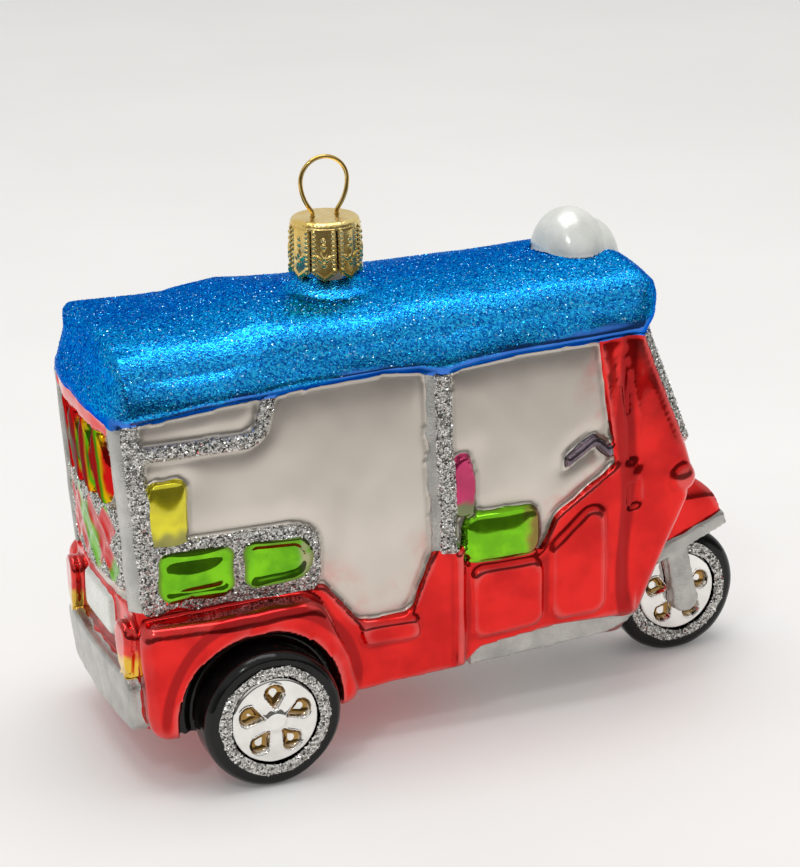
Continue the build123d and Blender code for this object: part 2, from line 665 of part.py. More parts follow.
with BuildPart() as mudguard_lip:
    with BuildSketch(Plane.XZ):
        with BuildLine():
            Polyline(
                (LIP_REAR_X, LIP_Z - 0.4),
                (LIP_BEND_X, LIP_Z),
                (LIP_TIP_X, LIP_TIP_Z),
                (LIP_TIP_X - 0.6, LIP_TIP_Z + LIP_THICKNESS - 0.2),
                (LIP_BEND_X, LIP_Z + LIP_THICKNESS),
                (LIP_REAR_X, LIP_Z - 0.4 + LIP_THICKNESS),
                (LIP_REAR_X, LIP_Z - 0.4),
            )
        make_face()
    extrude(amount=MUDGUARD_HALF_WIDTH + 0.4, both=True)
    add(fairing_envelope.part, mode=Mode.SUBTRACT)
    add(front_wheel_room.part, mode=Mode.SUBTRACT)

with BuildPart() as front_mudguard:
    with BuildSketch(Plane.XZ):
        with BuildLine():
            Polyline(
                (LIP_TIP_X - 1.2, LIP_TIP_Z + LIP_THICKNESS - 0.45),
                (LIP_BEND_X, LIP_Z + LIP_THICKNESS),
                (LIP_REAR_X, LIP_Z - 0.4 + LIP_THICKNESS),
                (LIP_REAR_X, DASH_TOP_Z - 8.6),
                (FRONT_WHEEL_X - 1.0, DASH_TOP_Z - 9.4),
            )
            ThreePointArc(
                (FRONT_WHEEL_X - 1.0, DASH_TOP_Z - 9.4),
                (FRONT_WHEEL_X + 5.2, DASH_TOP_Z - 12.6),
                (LIP_TIP_X - 1.2, LIP_TIP_Z + LIP_THICKNESS - 0.45),
            )
        make_face()
    extrude(amount=MUDGUARD_HALF_WIDTH, both=True)
    with BuildSketch(Plane.YZ.offset(LIP_REAR_X)) as hood:
        with BuildLine():
            Polyline(
                (-MUDGUARD_HALF_WIDTH, LIP_Z - FRONT_WHEEL_HALF_WIDTH),
                (MUDGUARD_HALF_WIDTH, LIP_Z - FRONT_WHEEL_HALF_WIDTH),
                (MUDGUARD_HALF_WIDTH, DASH_TOP_Z - 14.0),
            )
            ThreePointArc(
                (MUDGUARD_HALF_WIDTH, DASH_TOP_Z - 14.0),
                (0, DASH_TOP_Z - 8.0),
                (-MUDGUARD_HALF_WIDTH, DASH_TOP_Z - 14.0),
            )
            Line(
                (-MUDGUARD_HALF_WIDTH, DASH_TOP_Z - 14.0),
                (-MUDGUARD_HALF_WIDTH, LIP_Z - FRONT_WHEEL_HALF_WIDTH),
            )
        make_face()
    extrude(amount=2 * WHEEL_RADIUS, mode=Mode.INTERSECT)
    add(fairing_envelope.part, mode=Mode.SUBTRACT)
    add(front_wheel_room.part, mode=Mode.SUBTRACT)
    add(mudguard_lip.part, mode=Mode.SUBTRACT)

with BuildPart() as fork_legs:
    with BuildSketch(Plane.XZ.offset(FRONT_WHEEL_HALF_WIDTH)):
        with Locations((FRONT_WHEEL_X, WHEEL_RADIUS)):
            Circle(1.6)
    extrude(amount=RIM_BULGE)
    with BuildSketch(Plane.XZ.offset(FORK_FACE_Y)):
        with BuildLine():
            Polyline(
                (FRONT_WHEEL_X - 4.0, LIP_Z + 3.1),
                (FRONT_WHEEL_X + 0.4, LIP_Z + 4.1),
                (FRONT_WHEEL_X + 3.2, WHEEL_RADIUS - 0.4),
                (FRONT_WHEEL_X - 1.8, WHEEL_RADIUS - 0.8),
                (FRONT_WHEEL_X - 4.0, LIP_Z + 3.1),
            )
        make_face()
        with Locations((FRONT_WHEEL_X + 0.7, WHEEL_RADIUS - 0.9)):
            Circle(2.7)
    extrude(amount=2.2)
    add(mudguard_lip.part, mode=Mode.SUBTRACT)
    add(front_mudguard.part, mode=Mode.SUBTRACT)
    mirror(about=Plane.XZ)

# Red mouldings low on the sides: post under the centre pillar, door step and two driver's panels

with BuildPart() as side_mouldings:
    with BuildSketch(SILL_SIDE):
        with BuildLine():
            FilletPolyline(
                (PILLAR_POST_X + 1.6, SEAT_BASE_Z - 1.2),
                (DASH_FOOT_X - 0.2, SEAT_BASE_Z - 1.2),
                (DASH_FOOT_X - 0.2, BODY_BOTTOM_Z + 8.6),
                (PILLAR_POST_X + 1.6, BODY_BOTTOM_Z + 7.6),
                radius=2.4,
                close=True,
            )
        make_face()
        with BuildLine():
            FilletPolyline(
                (DASH_FOOT_X + 1.6, SEAT_BASE_Z + 0.4),
                (FAIRING_REAR_X - 2.6, DASH_TOP_Z - 4.6),
                (FAIRING_REAR_X - 2.6, BODY_BOTTOM_Z + 9.2),
                (DASH_FOOT_X + 1.6, BODY_BOTTOM_Z + 8.8),
                radius=2.4,
                close=True,
            )
        make_face()
        with BuildLine():
            FilletPolyline(
                (DOOR_REAR_X + 6.2, DOOR_SILL_Z - 0.6),
                (DOOR_FRONT_X - 3.6, DOOR_SILL_Z - 0.6),
                (DOOR_FRONT_X - 3.0, DOOR_SILL_Z - 4.6),
                (DOOR_REAR_X + 7.6, DOOR_SILL_Z - 4.6),
                radius=1.2,
                close=True,
            )
        make_face()
        with BuildLine():
            FilletPolyline(
                (PILLAR_POST_X - 1.6, PILLAR_FOOT_Z - 0.4),
                (PILLAR_POST_X - 0.1, PILLAR_FOOT_Z - 0.4),
                (PILLAR_POST_X - 0.1, BODY_BOTTOM_Z + 3.0),
                (PILLAR_POST_X - 1.6, BODY_BOTTOM_Z + 3.0),
                radius=0.5,
                close=True,
            )
        make_face()
    extrude(amount=PANEL_HEIGHT)
    chamfer(side_mouldings.faces().group_by(Axis.Y)[0].edges(), 0.5 * PANEL_HEIGHT)
    mirror(about=Plane.XZ)

# Moulded features on the cabin sides

PILLAR_EDGE_X = DOOR_FRONT_X + 1.8
PILLAR_LEAN = 0.03

with BuildPart() as centre_pillars:
    with BuildSketch(Plane.XY.offset(PILLAR_FOOT_Z)):
        with BuildLine():
            Polyline(
                (PILLAR_EDGE_X, -CABIN_HALF_WIDTH),
                (PILLAR_EDGE_X, -CABIN_HALF_WIDTH - PILLAR_HEIGHT),
                (PILLAR_POST_X - 1.6, -CABIN_HALF_WIDTH - PILLAR_HEIGHT),
                (PILLAR_POST_X - 1.1, -CABIN_HALF_WIDTH),
                (PILLAR_EDGE_X, -CABIN_HALF_WIDTH),
            )
        make_face()
    extrude(amount=FAR / 2, dir=(-PILLAR_LEAN, 0, 1))
    add(above_roof_edge.part, mode=Mode.SUBTRACT)
    mirror(about=Plane.XZ)

POST_TOP_Z = ROOF_EDGE_Z + 6.0

with BuildPart() as post_shell:
    add(rear_block(CABIN_SECTIONS, BACK_BOW, -RAIL_HEIGHT))
    add(cabin_envelope.part, mode=Mode.SUBTRACT)
    add(above_roof_edge.part, mode=Mode.SUBTRACT)

with BuildPart() as rear_pillars:
    with BuildSketch(Plane.XZ):
        with BuildLine():
            Polyline(
                (post_x(RAIL_BASE_Z), RAIL_BASE_Z),
                (post_x(RAIL_BASE_Z) + RAIL_STRIP, RAIL_BASE_Z),
                (post_x(POST_TOP_Z) + RAIL_STRIP, POST_TOP_Z),
                (post_x(POST_TOP_Z), POST_TOP_Z),
                (post_x(RAIL_BASE_Z), RAIL_BASE_Z),
            )
        make_face()
    extrude(amount=FAR, both=True)
    add(post_shell.part, mode=Mode.INTERSECT)

# Grey flanks: the slope behind each centre pillar and the rounded rear corner posts

with BuildPart() as pillar_flanks:
    with BuildSketch(Plane.XZ):
        with BuildLine():
            Polyline(
                (post_x(RAIL_BASE_Z) - 8.0, RAIL_BASE_Z),
                (post_x(RAIL_BASE_Z), RAIL_BASE_Z),
                (post_x(POST_TOP_Z), POST_TOP_Z),
                (post_x(POST_TOP_Z) - 8.0, POST_TOP_Z),
                (post_x(RAIL_BASE_Z) - 8.0, RAIL_BASE_Z),
            )
        make_face()
    extrude(amount=FAR, both=True)
    add(post_shell.part, mode=Mode.INTERSECT)
    with BuildSketch(Plane.XY.offset(RAIL_BASE_Z - WALL)):
        Rectangle(2 * FAR, 2 * (CABIN_HALF_WIDTH - BACK_MARGIN + PETAL_GAP))
    extrude(amount=FAR, mode=Mode.SUBTRACT)
    with BuildSketch(Plane.XY.offset(PILLAR_FOOT_Z)):
        with BuildLine():
            Polyline(
                (DOOR_FRONT_X - 0.6, -CABIN_HALF_WIDTH),
                (PILLAR_EDGE_X, -CABIN_HALF_WIDTH - PILLAR_HEIGHT),
                (PILLAR_EDGE_X, -CABIN_HALF_WIDTH),
                (DOOR_FRONT_X - 0.6, -CABIN_HALF_WIDTH),
            )
        make_face()
        mirror(about=Plane.XZ)
    extrude(amount=FAR / 2, dir=(-PILLAR_LEAN, 0, 1))
    add(above_roof_edge.part, mode=Mode.SUBTRACT)

RAIL_SPLIT_X = BODY_REAR_X + 16.8
UPPER_RAIL_BEND_X = BODY_REAR_X + 22.4

with BuildPart() as upper_rails:
    with BuildSketch(SIDE):
        with BuildLine():
            FilletPolyline(
                (post_x(UPPER_RAIL_Z) + 0.7 * RAIL_STRIP, UPPER_RAIL_Z),
                (UPPER_RAIL_BEND_X, UPPER_RAIL_Z),
                (UPPER_RAIL_BEND_X + 3.6, ROOF_EDGE_Z + 5.0),
                (UPPER_RAIL_BEND_X + 1.2, ROOF_EDGE_Z + 5.0),
                (UPPER_RAIL_BEND_X - 1.8, UPPER_RAIL_Z + RAIL_STRIP),
                (post_x(UPPER_RAIL_Z) + 0.7 * RAIL_STRIP, UPPER_RAIL_Z + RAIL_STRIP),
                radius=[0.0, 2.0 * RAIL_STRIP, 0.0, 0.0, RAIL_STRIP, 0.0],
                close=True,
            )
        make_face()
    extrude(amount=RAIL_HEIGHT)
    add(above_roof_edge.part, mode=Mode.SUBTRACT)
    add(rear_pillars.part, mode=Mode.SUBTRACT)
    mirror(about=Plane.XZ)

PANE_REAR_X = post_x(RAIL_BASE_Z) + 1.4 * RAIL_STRIP

# Outlines of the two panes in the rail frame: a rounded oblong and an almond
with BuildSketch() as pane_outlines:
    with BuildLine():
        FilletPolyline(
            (PANE_REAR_X, PANE_MIDDLE_Z - PANE_TALL / 2),
            (RAIL_SPLIT_X - 1.8, PANE_MIDDLE_Z - PANE_TALL / 2),
            (RAIL_SPLIT_X - 1.8, PANE_MIDDLE_Z + PANE_TALL / 2),
            (PANE_REAR_X, PANE_MIDDLE_Z + PANE_TALL / 2),
            radius=0.17 * PANE_TALL,
            close=True,
        )
    make_face()
    with BuildLine():
        FilletPolyline(
            (RAIL_SPLIT_X + 2.1, PANE_MIDDLE_Z - PANE_TALL / 2),
            (DOOR_REAR_X - 4.4, PANE_MIDDLE_Z - 0.40 * PANE_TALL),
            (DOOR_REAR_X - 2.6, PANE_MIDDLE_Z),
            (DOOR_REAR_X - 4.4, PANE_MIDDLE_Z + 0.44 * PANE_TALL),
            (RAIL_SPLIT_X + 2.1, PANE_MIDDLE_Z + PANE_TALL / 2),
            radius=0.20 * PANE_TALL,
            close=True,
        )
    make_face()

with BuildPart() as lower_rails:
    with BuildSketch(SIDE):
        with BuildLine():
            FilletPolyline(
                (post_x(RAIL_BASE_Z) + 0.7 * RAIL_STRIP, RAIL_BASE_Z),
                (DOOR_REAR_X - 0.6, RAIL_BASE_Z),
                (DOOR_REAR_X - 0.6, RAIL_TOP_Z),
                (post_x(RAIL_TOP_Z) + 0.7 * RAIL_STRIP, RAIL_TOP_Z),
                radius=[0.0, 0.2 * RAIL_FRAME_HEIGHT, 0.42 * RAIL_FRAME_HEIGHT, 0.0],
                close=True,
            )
        make_face()
        add(pane_outlines.sketch, mode=Mode.SUBTRACT)
    extrude(amount=RAIL_HEIGHT)
    add(rear_pillars.part, mode=Mode.SUBTRACT)
    mirror(about=Plane.XZ)

with BuildPart() as rail_panes:
    with BuildSketch(SIDE):
        add(pane_outlines.sketch)
    extrude(amount=PANE_HEIGHT)
    add(rear_pillars.part, mode=Mode.SUBTRACT)
    mirror(about=Plane.XZ)

with BuildPart() as passenger_seats:
    with BuildSketch(SIDE):
        with Locations((post_x(RAIL_TOP_Z) + RAIL_STRIP + 3.3, RAIL_TOP_Z + 5.6)):
            RectangleRounded(6.4, 11.2, 1.6)
    extrude(amount=SEAT_HEIGHT * 0.7)
    add(rear_pillars.part, mode=Mode.SUBTRACT)
    mirror(about=Plane.XZ)

with BuildPart() as driver_seats:
    with BuildSketch(SIDE):
        with Locations(((PILLAR_POST_X + DASH_FOOT_X) / 2, SEAT_BASE_Z + 4.55)):
            RectangleRounded(DASH_FOOT_X - PILLAR_POST_X - 1.0, 9.1, 2.6)
    extrude(amount=SEAT_HEIGHT)
    fillet(driver_seats.faces().sort_by(Axis.Y)[0].edges(), 0.7 * SEAT_HEIGHT)
    mirror(about=Plane.XZ)

with BuildPart() as driver_backs:
    with BuildSketch(SIDE):
        with BuildLine():
            FilletPolyline(
                (PILLAR_POST_X - 0.7, SEAT_BASE_Z + 9.1),
                (PILLAR_POST_X + 2.4, SEAT_BASE_Z + 9.1),
                (PILLAR_POST_X + 2.7, SEAT_BASE_Z + 16.0),
                (PILLAR_POST_X + 0.8, SEAT_BASE_Z + 22.0),
                (PILLAR_POST_X - 0.7, SEAT_BASE_Z + 19.6),
                radius=[0.5, 0.5, 3.0, 1.0, 1.0],
                close=True,
            )
        make_face()
    extrude(amount=SEAT_HEIGHT * 0.6)
    mirror(about=Plane.XZ)

with BuildPart() as handlebars:
    with BuildSketch(SIDE):
        with BuildLine():
            Polyline(
                (FAIRING_REAR_X - 9.8, DASH_TOP_Z + 1.2),
                (FAIRING_REAR_X - 4.2, DASH_TOP_Z + 4.6),
                (FAIRING_REAR_X - 1.0, DASH_TOP_Z + 1.6),
                (FAIRING_REAR_X - 1.0, DASH_TOP_Z + 3.6),
                (FAIRING_REAR_X - 4.2, DASH_TOP_Z + 6.4),
                (FAIRING_REAR_X - 9.8, DASH_TOP_Z + 2.8),
                (FAIRING_REAR_X - 9.8, DASH_TOP_Z + 1.2),
            )
        make_face()
    extrude(amount=1.1)
    add(fairing_envelope.part, mode=Mode.SUBTRACT)
    mirror(about=Plane.XZ)

# Windscreen and its frame, on the sloping front

SCREEN_MIDDLE_Z = (DASH_TOP_Z + 1.6 + ROOF_EDGE_Z + 4.0) / 2
SCREEN_TALL = ROOF_EDGE_Z + 4.0 - DASH_TOP_Z - 1.6
SCREEN_WIDE = 2 * (CABIN_HALF_WIDTH - 0.6)

with BuildPart() as screen_shell:
    add(fairing_block(0.9))
    add(fairing_envelope.part, mode=Mode.SUBTRACT)
    add(above_roof_edge.part, mode=Mode.SUBTRACT)

with BuildPart() as windscreen:
    with BuildSketch(Plane.YZ.offset(FAIRING_REAR_X - 1.0)):
        with Locations((0, SCREEN_MIDDLE_Z)):
            RectangleRounded(SCREEN_WIDE - 2 * RAIL_STRIP, SCREEN_TALL - 2 * RAIL_STRIP, 2.5)
    extrude(amount=FAR)
    add(screen_shell.part, mode=Mode.INTERSECT)

with BuildPart() as windscreen_frame:
    with BuildSketch(Plane.YZ.offset(FAIRING_REAR_X - 1.0)):
        with Locations((0, SCREEN_MIDDLE_Z)):
            RectangleRounded(SCREEN_WIDE, SCREEN_TALL, 3.5)
            RectangleRounded(SCREEN_WIDE - 2 * RAIL_STRIP, SCREEN_TALL - 2 * RAIL_STRIP, 2.5, mode=Mode.SUBTRACT)
    extrude(amount=FAR)
    add(screen_shell.part, mode=Mode.INTERSECT)

with BuildPart() as headlamps:
    with Locations((FAIRING_REAR_X + 13.6, -SILL_HALF_WIDTH + 1.8, DASH_TOP_Z - 4.4)):
        Sphere(3.0)
    add(fairing_envelope.part, mode=Mode.SUBTRACT)
    mirror(about=Plane.XZ)

# Features on the bowed back

with BuildPart() as cabin_back_shell:
    add(rear_block(CABIN_SECTIONS, BACK_BOW, 0, rear_grow=BACK_RELIEF))
    add(cabin_envelope.part, mode=Mode.SUBTRACT)

with BuildPart() as cabin_pane_shell:
    add(rear_block(CABIN_SECTIONS, BACK_BOW, 0, rear_grow=0.5 * BACK_RELIEF))
    add(cabin_envelope.part, mode=Mode.SUBTRACT)

with BuildPart() as lower_back_shell:
    add(rear_block(LOWER_SECTIONS, LOWER_BACK_BOW, 0, rear_grow=BACK_RELIEF))
    add(lower_envelope.part, mode=Mode.SUBTRACT)

with BuildPart() as lamp_shell:
    add(rear_block(LOWER_SECTIONS, LOWER_BACK_BOW, 0, rear_grow=LAMP_RELIEF))
    add(lower_envelope.part, mode=Mode.SUBTRACT)

with BuildPart() as bumper_shell:
    add(rear_block(LOWER_SECTIONS, LOWER_BACK_BOW, 0, rear_grow=BUMPER_RELIEF))
    add(lower_envelope.part, mode=Mode.SUBTRACT)

BACK_HALF_WIDTH = CABIN_HALF_WIDTH - BACK_MARGIN
LATTICE_Z = RAIL_BASE_Z + 10.2
LATTICE_STEP = BACK_HALF_WIDTH * 0.44
LATTICE_TOP_Z = LATTICE_Z + 1.025 * LATTICE_RISE
TRIM_MIDDLE_Z = ROOF_EDGE_Z - 1.0
TRIM_BOTTOM_Z = TRIM_MIDDLE_Z - TRIM_HEIGHT / 2
PETAL_WIDE = BACK_HALF_WIDTH * 0.2
PETAL_TALL = (TRIM_BOTTOM_Z - LATTICE_TOP_Z) / 2 - PETAL_GAP

with BuildPart() as rear_window:
    with BuildSketch(BEHIND):
        with Locations((0, (TRIM_BOTTOM_Z + LATTICE_TOP_Z) / 2)):
            with GridLocations(2.1 * PETAL_WIDE, 0, 4, 1):
                Ellipse(PETAL_WIDE, PETAL_TALL)
    extrude(amount=20)
    add(cabin_back_shell.part, mode=Mode.INTERSECT)

# Outlines of the lozenges between the lattice bars
with BuildSketch() as lozenge:
    with BuildLine():
        Polyline(
            (0.396 * LATTICE_STEP, 0),
            (0, 0.396 * LATTICE_RISE),
            (-0.396 * LATTICE_STEP, 0),
            (0, -0.396 * LATTICE_RISE),
            close=True,
        )
    make_face()

with BuildSketch() as lozenges:
    with Locations((0, LATTICE_Z)):
        with GridLocations(LATTICE_STEP, LATTICE_RISE, 4, 2):
            add(lozenge.sketch)
        with GridLocations(LATTICE_STEP, LATTICE_RISE, 3, 1):
            add(lozenge.sketch)

with BuildPart() as rear_lattice:
    with BuildSketch(BEHIND):
        with Locations((0, LATTICE_Z)):
            RectangleRounded(2 * BACK_HALF_WIDTH - 2.0, 2.05 * LATTICE_RISE, 1.6)
        add(lozenges.sketch, mode=Mode.SUBTRACT)
    extrude(amount=20)
    add(cabin_back_shell.part, mode=Mode.INTERSECT)

with BuildPart() as lattice_panes:
    with BuildSketch(BEHIND):
        add(lozenges.sketch)
    extrude(amount=20)
    add(cabin_pane_shell.part, mode=Mode.INTERSECT)

with BuildPart() as rear_trim:
    with BuildSketch(BEHIND):
        with Locations((0, TRIM_MIDDLE_Z)):
            Rectangle(2 * BACK_HALF_WIDTH, TRIM_HEIGHT)
    extrude(amount=20)
    add(cabin_back_shell.part, mode=Mode.INTERSECT)
    add(above_roof_edge.part, mode=Mode.SUBTRACT)

with BuildPart() as tail_lamps:
    with BuildSketch(BEHIND) as lamp_outline:
        with Locations((-BACK_HALF_WIDTH - 0.4, RAIL_BASE_Z - 5.0)):
            Circle(2.8)
        with Locations((-BACK_HALF_WIDTH - 0.6, RAIL_BASE_Z - 11.0)):
            Circle(1.8)
        make_hull()
    extrude(amount=20)
    add(lamp_shell.part, mode=Mode.INTERSECT)
    mirror(about=Plane.XZ)

with BuildPart() as number_plate:
    with BuildSketch(BEHIND):
        with Locations((0, RAIL_BASE_Z - 4.8)):
            RectangleRounded(BACK_HALF_WIDTH, 7.0, 1.0)
    extrude(amount=20)
    add(lower_back_shell.part, mode=Mode.INTERSECT)

with BuildPart() as rear_bumper:
    with BuildSketch(BEHIND):
        with Locations((0, BODY_BOTTOM_Z + 5.6)):
            RectangleRounded(2 * (SILL_HALF_WIDTH - 0.6), 10.4, 2.4)
    extrude(amount=20)
    add(bumper_shell.part, mode=Mode.INTERSECT)
    add(tail_lamps.part, mode=Mode.SUBTRACT)

# Grey belly under the driver's end

with BuildPart() as belly:
    with BuildSketch(Plane.XZ):
        with BuildLine():
            Polyline(
                (PILLAR_POST_X + 2.1, BODY_BOTTOM_Z + 1.4),
                (FAIRING_REAR_X - 1.6, BODY_BOTTOM_Z + 3.0),
                (FAIRING_REAR_X + 4.0, BODY_BOTTOM_Z + 5.0),
                (FAIRING_REAR_X + 4.0, DOOR_SILL_Z),
                (PILLAR_POST_X + 2.1, DOOR_SILL_Z),
                (PILLAR_POST_X + 2.1, BODY_BOTTOM_Z + 1.4),
            )
        make_face()
    extrude(amount=SILL_HALF_WIDTH - 2.2, both=True)
    add(below_body.part, mode=Mode.INTERSECT)
    add(fairing_envelope.part, mode=Mode.SUBTRACT)
    add(lower_body.part, mode=Mode.SUBTRACT)

# Metal cap: a crimped crown of pointed petals

CAP_INNER_RADIUS = NECK_RADIUS + CAP_GAP
CAP_RADIUS = CAP_INNER_RADIUS + CAP_SHEET
CAP_FLARE = 0.3
CAP_TOP_Z = NECK_TOP_Z + CAP_SHEET
SLIT_TOP_Z = NECK_TOP_Z - 2 * CAP_SHEET
PETAL_HALF = 0.46 * CAP_RADIUS

with BuildPart() as cap:
    with BuildSketch(Plane.XZ):
        with BuildLine():
            FilletPolyline(
                (NECK_X, CAP_TOP_Z),
                (NECK_X + CAP_RADIUS, CAP_TOP_Z),
                (NECK_X + CAP_RADIUS + CAP_FLARE, CAP_SKIRT_Z - PETAL_POINT),
                radius=[2 * CAP_SHEET],
            )
            Polyline(
                (NECK_X + CAP_RADIUS + CAP_FLARE, CAP_SKIRT_Z - PETAL_POINT),
                (NECK_X + CAP_INNER_RADIUS + CAP_FLARE, CAP_SKIRT_Z - PETAL_POINT),
                (NECK_X + CAP_INNER_RADIUS, NECK_TOP_Z),
                (NECK_X, NECK_TOP_Z),
                (NECK_X, CAP_TOP_Z),
            )
        make_face()
    revolve(axis=Axis((NECK_X, 0, 0), (0, 0, 1)))
    with BuildSketch(Plane.XZ) as petal_gap:
        with BuildLine():
            Polyline(
                (-PETAL_SLIT / 2, SLIT_TOP_Z),
                (PETAL_SLIT / 2, SLIT_TOP_Z),
                (PETAL_SLIT / 2, CAP_SKIRT_Z),
                (PETAL_HALF, CAP_SKIRT_Z - PETAL_POINT - 0.1),
                (-PETAL_HALF, CAP_SKIRT_Z - PETAL_POINT - 0.1),
                (-PETAL_SLIT / 2, CAP_SKIRT_Z),
                (-PETAL_SLIT / 2, SLIT_TOP_Z),
            )
        make_face()
    with BuildPart(mode=Mode.PRIVATE) as petal_cutter:
        add(extrude(petal_gap.sketch, amount=2 * CAP_RADIUS))
    with Locations((NECK_X, 0, 0)):
        with PolarLocations(0, PETALS):
            add(petal_cutter.part, mode=Mode.SUBTRACT)
    with BuildSketch(Plane.XY.offset(NECK_TOP_Z - 1)):
        with Locations((NECK_X - LEG_SPACING / 2, 0), (NECK_X + LEG_SPACING / 2, 0)):
            Circle(WIRE_RADIUS + WIRE_GAP)
    extrude(amount=4, mode=Mode.SUBTRACT)

# Hanger wire: an oval loop whose two legs go through the cap and spread inside the neck


def loop_side(turn):
    """How far out and how high the side of the loop is, after a turn down from its widest point."""
    out = LOOP_RADIUS - LOOP_SIDE_RADIUS * (1 - cos(radians(turn)))
    return out, LOOP_CENTRE_Z - LOOP_SIDE_RADIUS * sin(radians(turn))


SIDE_OUT, SIDE_Z = loop_side(LOOP_SIDE_TURN)
MIDDLE_OUT, MIDDLE_Z = loop_side(LOOP_SIDE_TURN / 2)
KNEE_OUT = LEG_SPACING / 2
KNEE_Z = SIDE_Z - (SIDE_OUT - KNEE_OUT) * cos(radians(LOOP_SIDE_TURN)) / sin(radians(LOOP_SIDE_TURN))

with BuildPart() as hanger:
    with BuildLine() as wire_path:
        FilletPolyline(
            (NECK_X - LEG_SPREAD / 2, 0, LEG_BOTTOM_Z),
            (NECK_X - KNEE_OUT, 0, NECK_TOP_Z - 3.0),
            (NECK_X - KNEE_OUT, 0, KNEE_Z),
            (NECK_X - SIDE_OUT, 0, SIDE_Z),
            radius=[1.5, 1.0],
        )
        ThreePointArc(
            (NECK_X - SIDE_OUT, 0, SIDE_Z),
            (NECK_X - MIDDLE_OUT, 0, MIDDLE_Z),
            (NECK_X - LOOP_RADIUS, 0, LOOP_CENTRE_Z),
        )
        ThreePointArc(
            (NECK_X - LOOP_RADIUS, 0, LOOP_CENTRE_Z),
            (NECK_X, 0, LOOP_CENTRE_Z + LOOP_RADIUS),
            (NECK_X + LOOP_RADIUS, 0, LOOP_CENTRE_Z),
        )
        ThreePointArc(
            (NECK_X + LOOP_RADIUS, 0, LOOP_CENTRE_Z),
            (NECK_X + MIDDLE_OUT, 0, MIDDLE_Z),
            (NECK_X + SIDE_OUT, 0, SIDE_Z),
        )
        FilletPolyline(
            (NECK_X + SIDE_OUT, 0, SIDE_Z),
            (NECK_X + KNEE_OUT, 0, KNEE_Z),
            (NECK_X + KNEE_OUT, 0, NECK_TOP_Z - 3.0),
            (NECK_X + LEG_SPREAD / 2, 0, LEG_BOTTOM_Z),
            radius=[1.0, 1.5],
        )
    with BuildSketch(Plane(origin=wire_path.wires()[0] @ 0, z_dir=wire_path.wires()[0] % 0)):
        Circle(WIRE_RADIUS)
    sweep(path=wire_path.wires()[0])

PARTS = {
    "roof": roof,
    "neck": neck,
    "roof_lamp": roof_lamp,
    "cabin": cabin,
    "lower_body": lower_body,
    "front_fairing": front_fairing,
    "rear_fenders": rear_fenders,
    "side_mouldings": side_mouldings,
    "wheel_arches": wheel_arches,
    "rear_tyres": rear_tyres,
    "rear_rims": rear_rims,
    "rear_hubs": rear_hubs,
    "front_tyre": front_tyre,
    "front_rims": front_rims,
    "front_hubs": front_hubs,
    "front_mudguard": front_mudguard,
    "mudguard_lip": mudguard_lip,
    "fork_legs": fork_legs,
    "centre_pillars": centre_pillars,
    "rear_pillars": rear_pillars,
    "pillar_flanks": pillar_flanks,
    "upper_rails": upper_rails,
    "lower_rails": lower_rails,
    "rail_panes": rail_panes,
    "passenger_seats": passenger_seats,
    "driver_seats": driver_seats,
    "driver_backs": driver_backs,
    "handlebars": handlebars,
    "windscreen": windscreen,
    "windscreen_frame": windscreen_frame,
    "headlamps": headlamps,
    "rear_window": rear_window,
    "rear_lattice": rear_lattice,
    "lattice_panes": lattice_panes,
    "rear_trim": rear_trim,
    "tail_lamps": tail_lamps,
    "number_plate": number_plate,
    "rear_bumper": rear_bumper,
    "belly": belly,
    "cap": cap,
    "hanger": hanger,
}

os.makedirs("parts", exist_ok=True)
for name, piece in PARTS.items():
    piece.part.label = name
    export_step(piece.part, "parts/" + name + ".step")
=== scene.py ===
"""Looks of a blown glass auto-rickshaw ornament: one silvered skin, lacquered and glittered by hand."""

import math

import bpy
import numpy as np
from mathutils import Matrix, Vector
from mathutils.bvhtree import BVHTree


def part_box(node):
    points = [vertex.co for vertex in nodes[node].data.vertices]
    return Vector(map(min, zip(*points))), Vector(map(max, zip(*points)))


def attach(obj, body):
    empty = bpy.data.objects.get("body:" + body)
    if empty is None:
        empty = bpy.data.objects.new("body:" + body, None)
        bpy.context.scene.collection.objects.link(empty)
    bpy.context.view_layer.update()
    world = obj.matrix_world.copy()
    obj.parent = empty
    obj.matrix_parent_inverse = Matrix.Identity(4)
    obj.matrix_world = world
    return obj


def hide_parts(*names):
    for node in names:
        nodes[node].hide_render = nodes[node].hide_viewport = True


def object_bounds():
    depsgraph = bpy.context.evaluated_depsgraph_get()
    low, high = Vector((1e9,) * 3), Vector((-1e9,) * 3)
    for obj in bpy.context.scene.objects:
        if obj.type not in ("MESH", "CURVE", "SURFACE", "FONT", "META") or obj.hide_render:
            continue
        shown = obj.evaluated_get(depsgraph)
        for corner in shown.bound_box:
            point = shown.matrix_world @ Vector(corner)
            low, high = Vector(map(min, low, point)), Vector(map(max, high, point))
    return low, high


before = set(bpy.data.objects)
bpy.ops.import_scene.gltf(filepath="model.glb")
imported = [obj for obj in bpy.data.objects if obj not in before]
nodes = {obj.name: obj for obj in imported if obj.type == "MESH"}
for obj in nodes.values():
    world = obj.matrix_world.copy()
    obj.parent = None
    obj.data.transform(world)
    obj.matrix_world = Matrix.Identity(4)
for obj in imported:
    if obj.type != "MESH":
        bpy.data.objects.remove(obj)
cad_low, cad_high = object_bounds()
FLAKE_SEED = 20778
rng = np.random.default_rng(FLAKE_SEED)

MM = 0.001

# Camera, fitted to the photograph (millimetres and degrees)
CAMERA_PLACE = (-173.7, -439.1, 215.9)
CAMERA_AZIMUTH = -21.25
CAMERA_ELEVATION = 19.26
CAMERA_ROLL = -1.03
CAMERA_LENS = 111.86

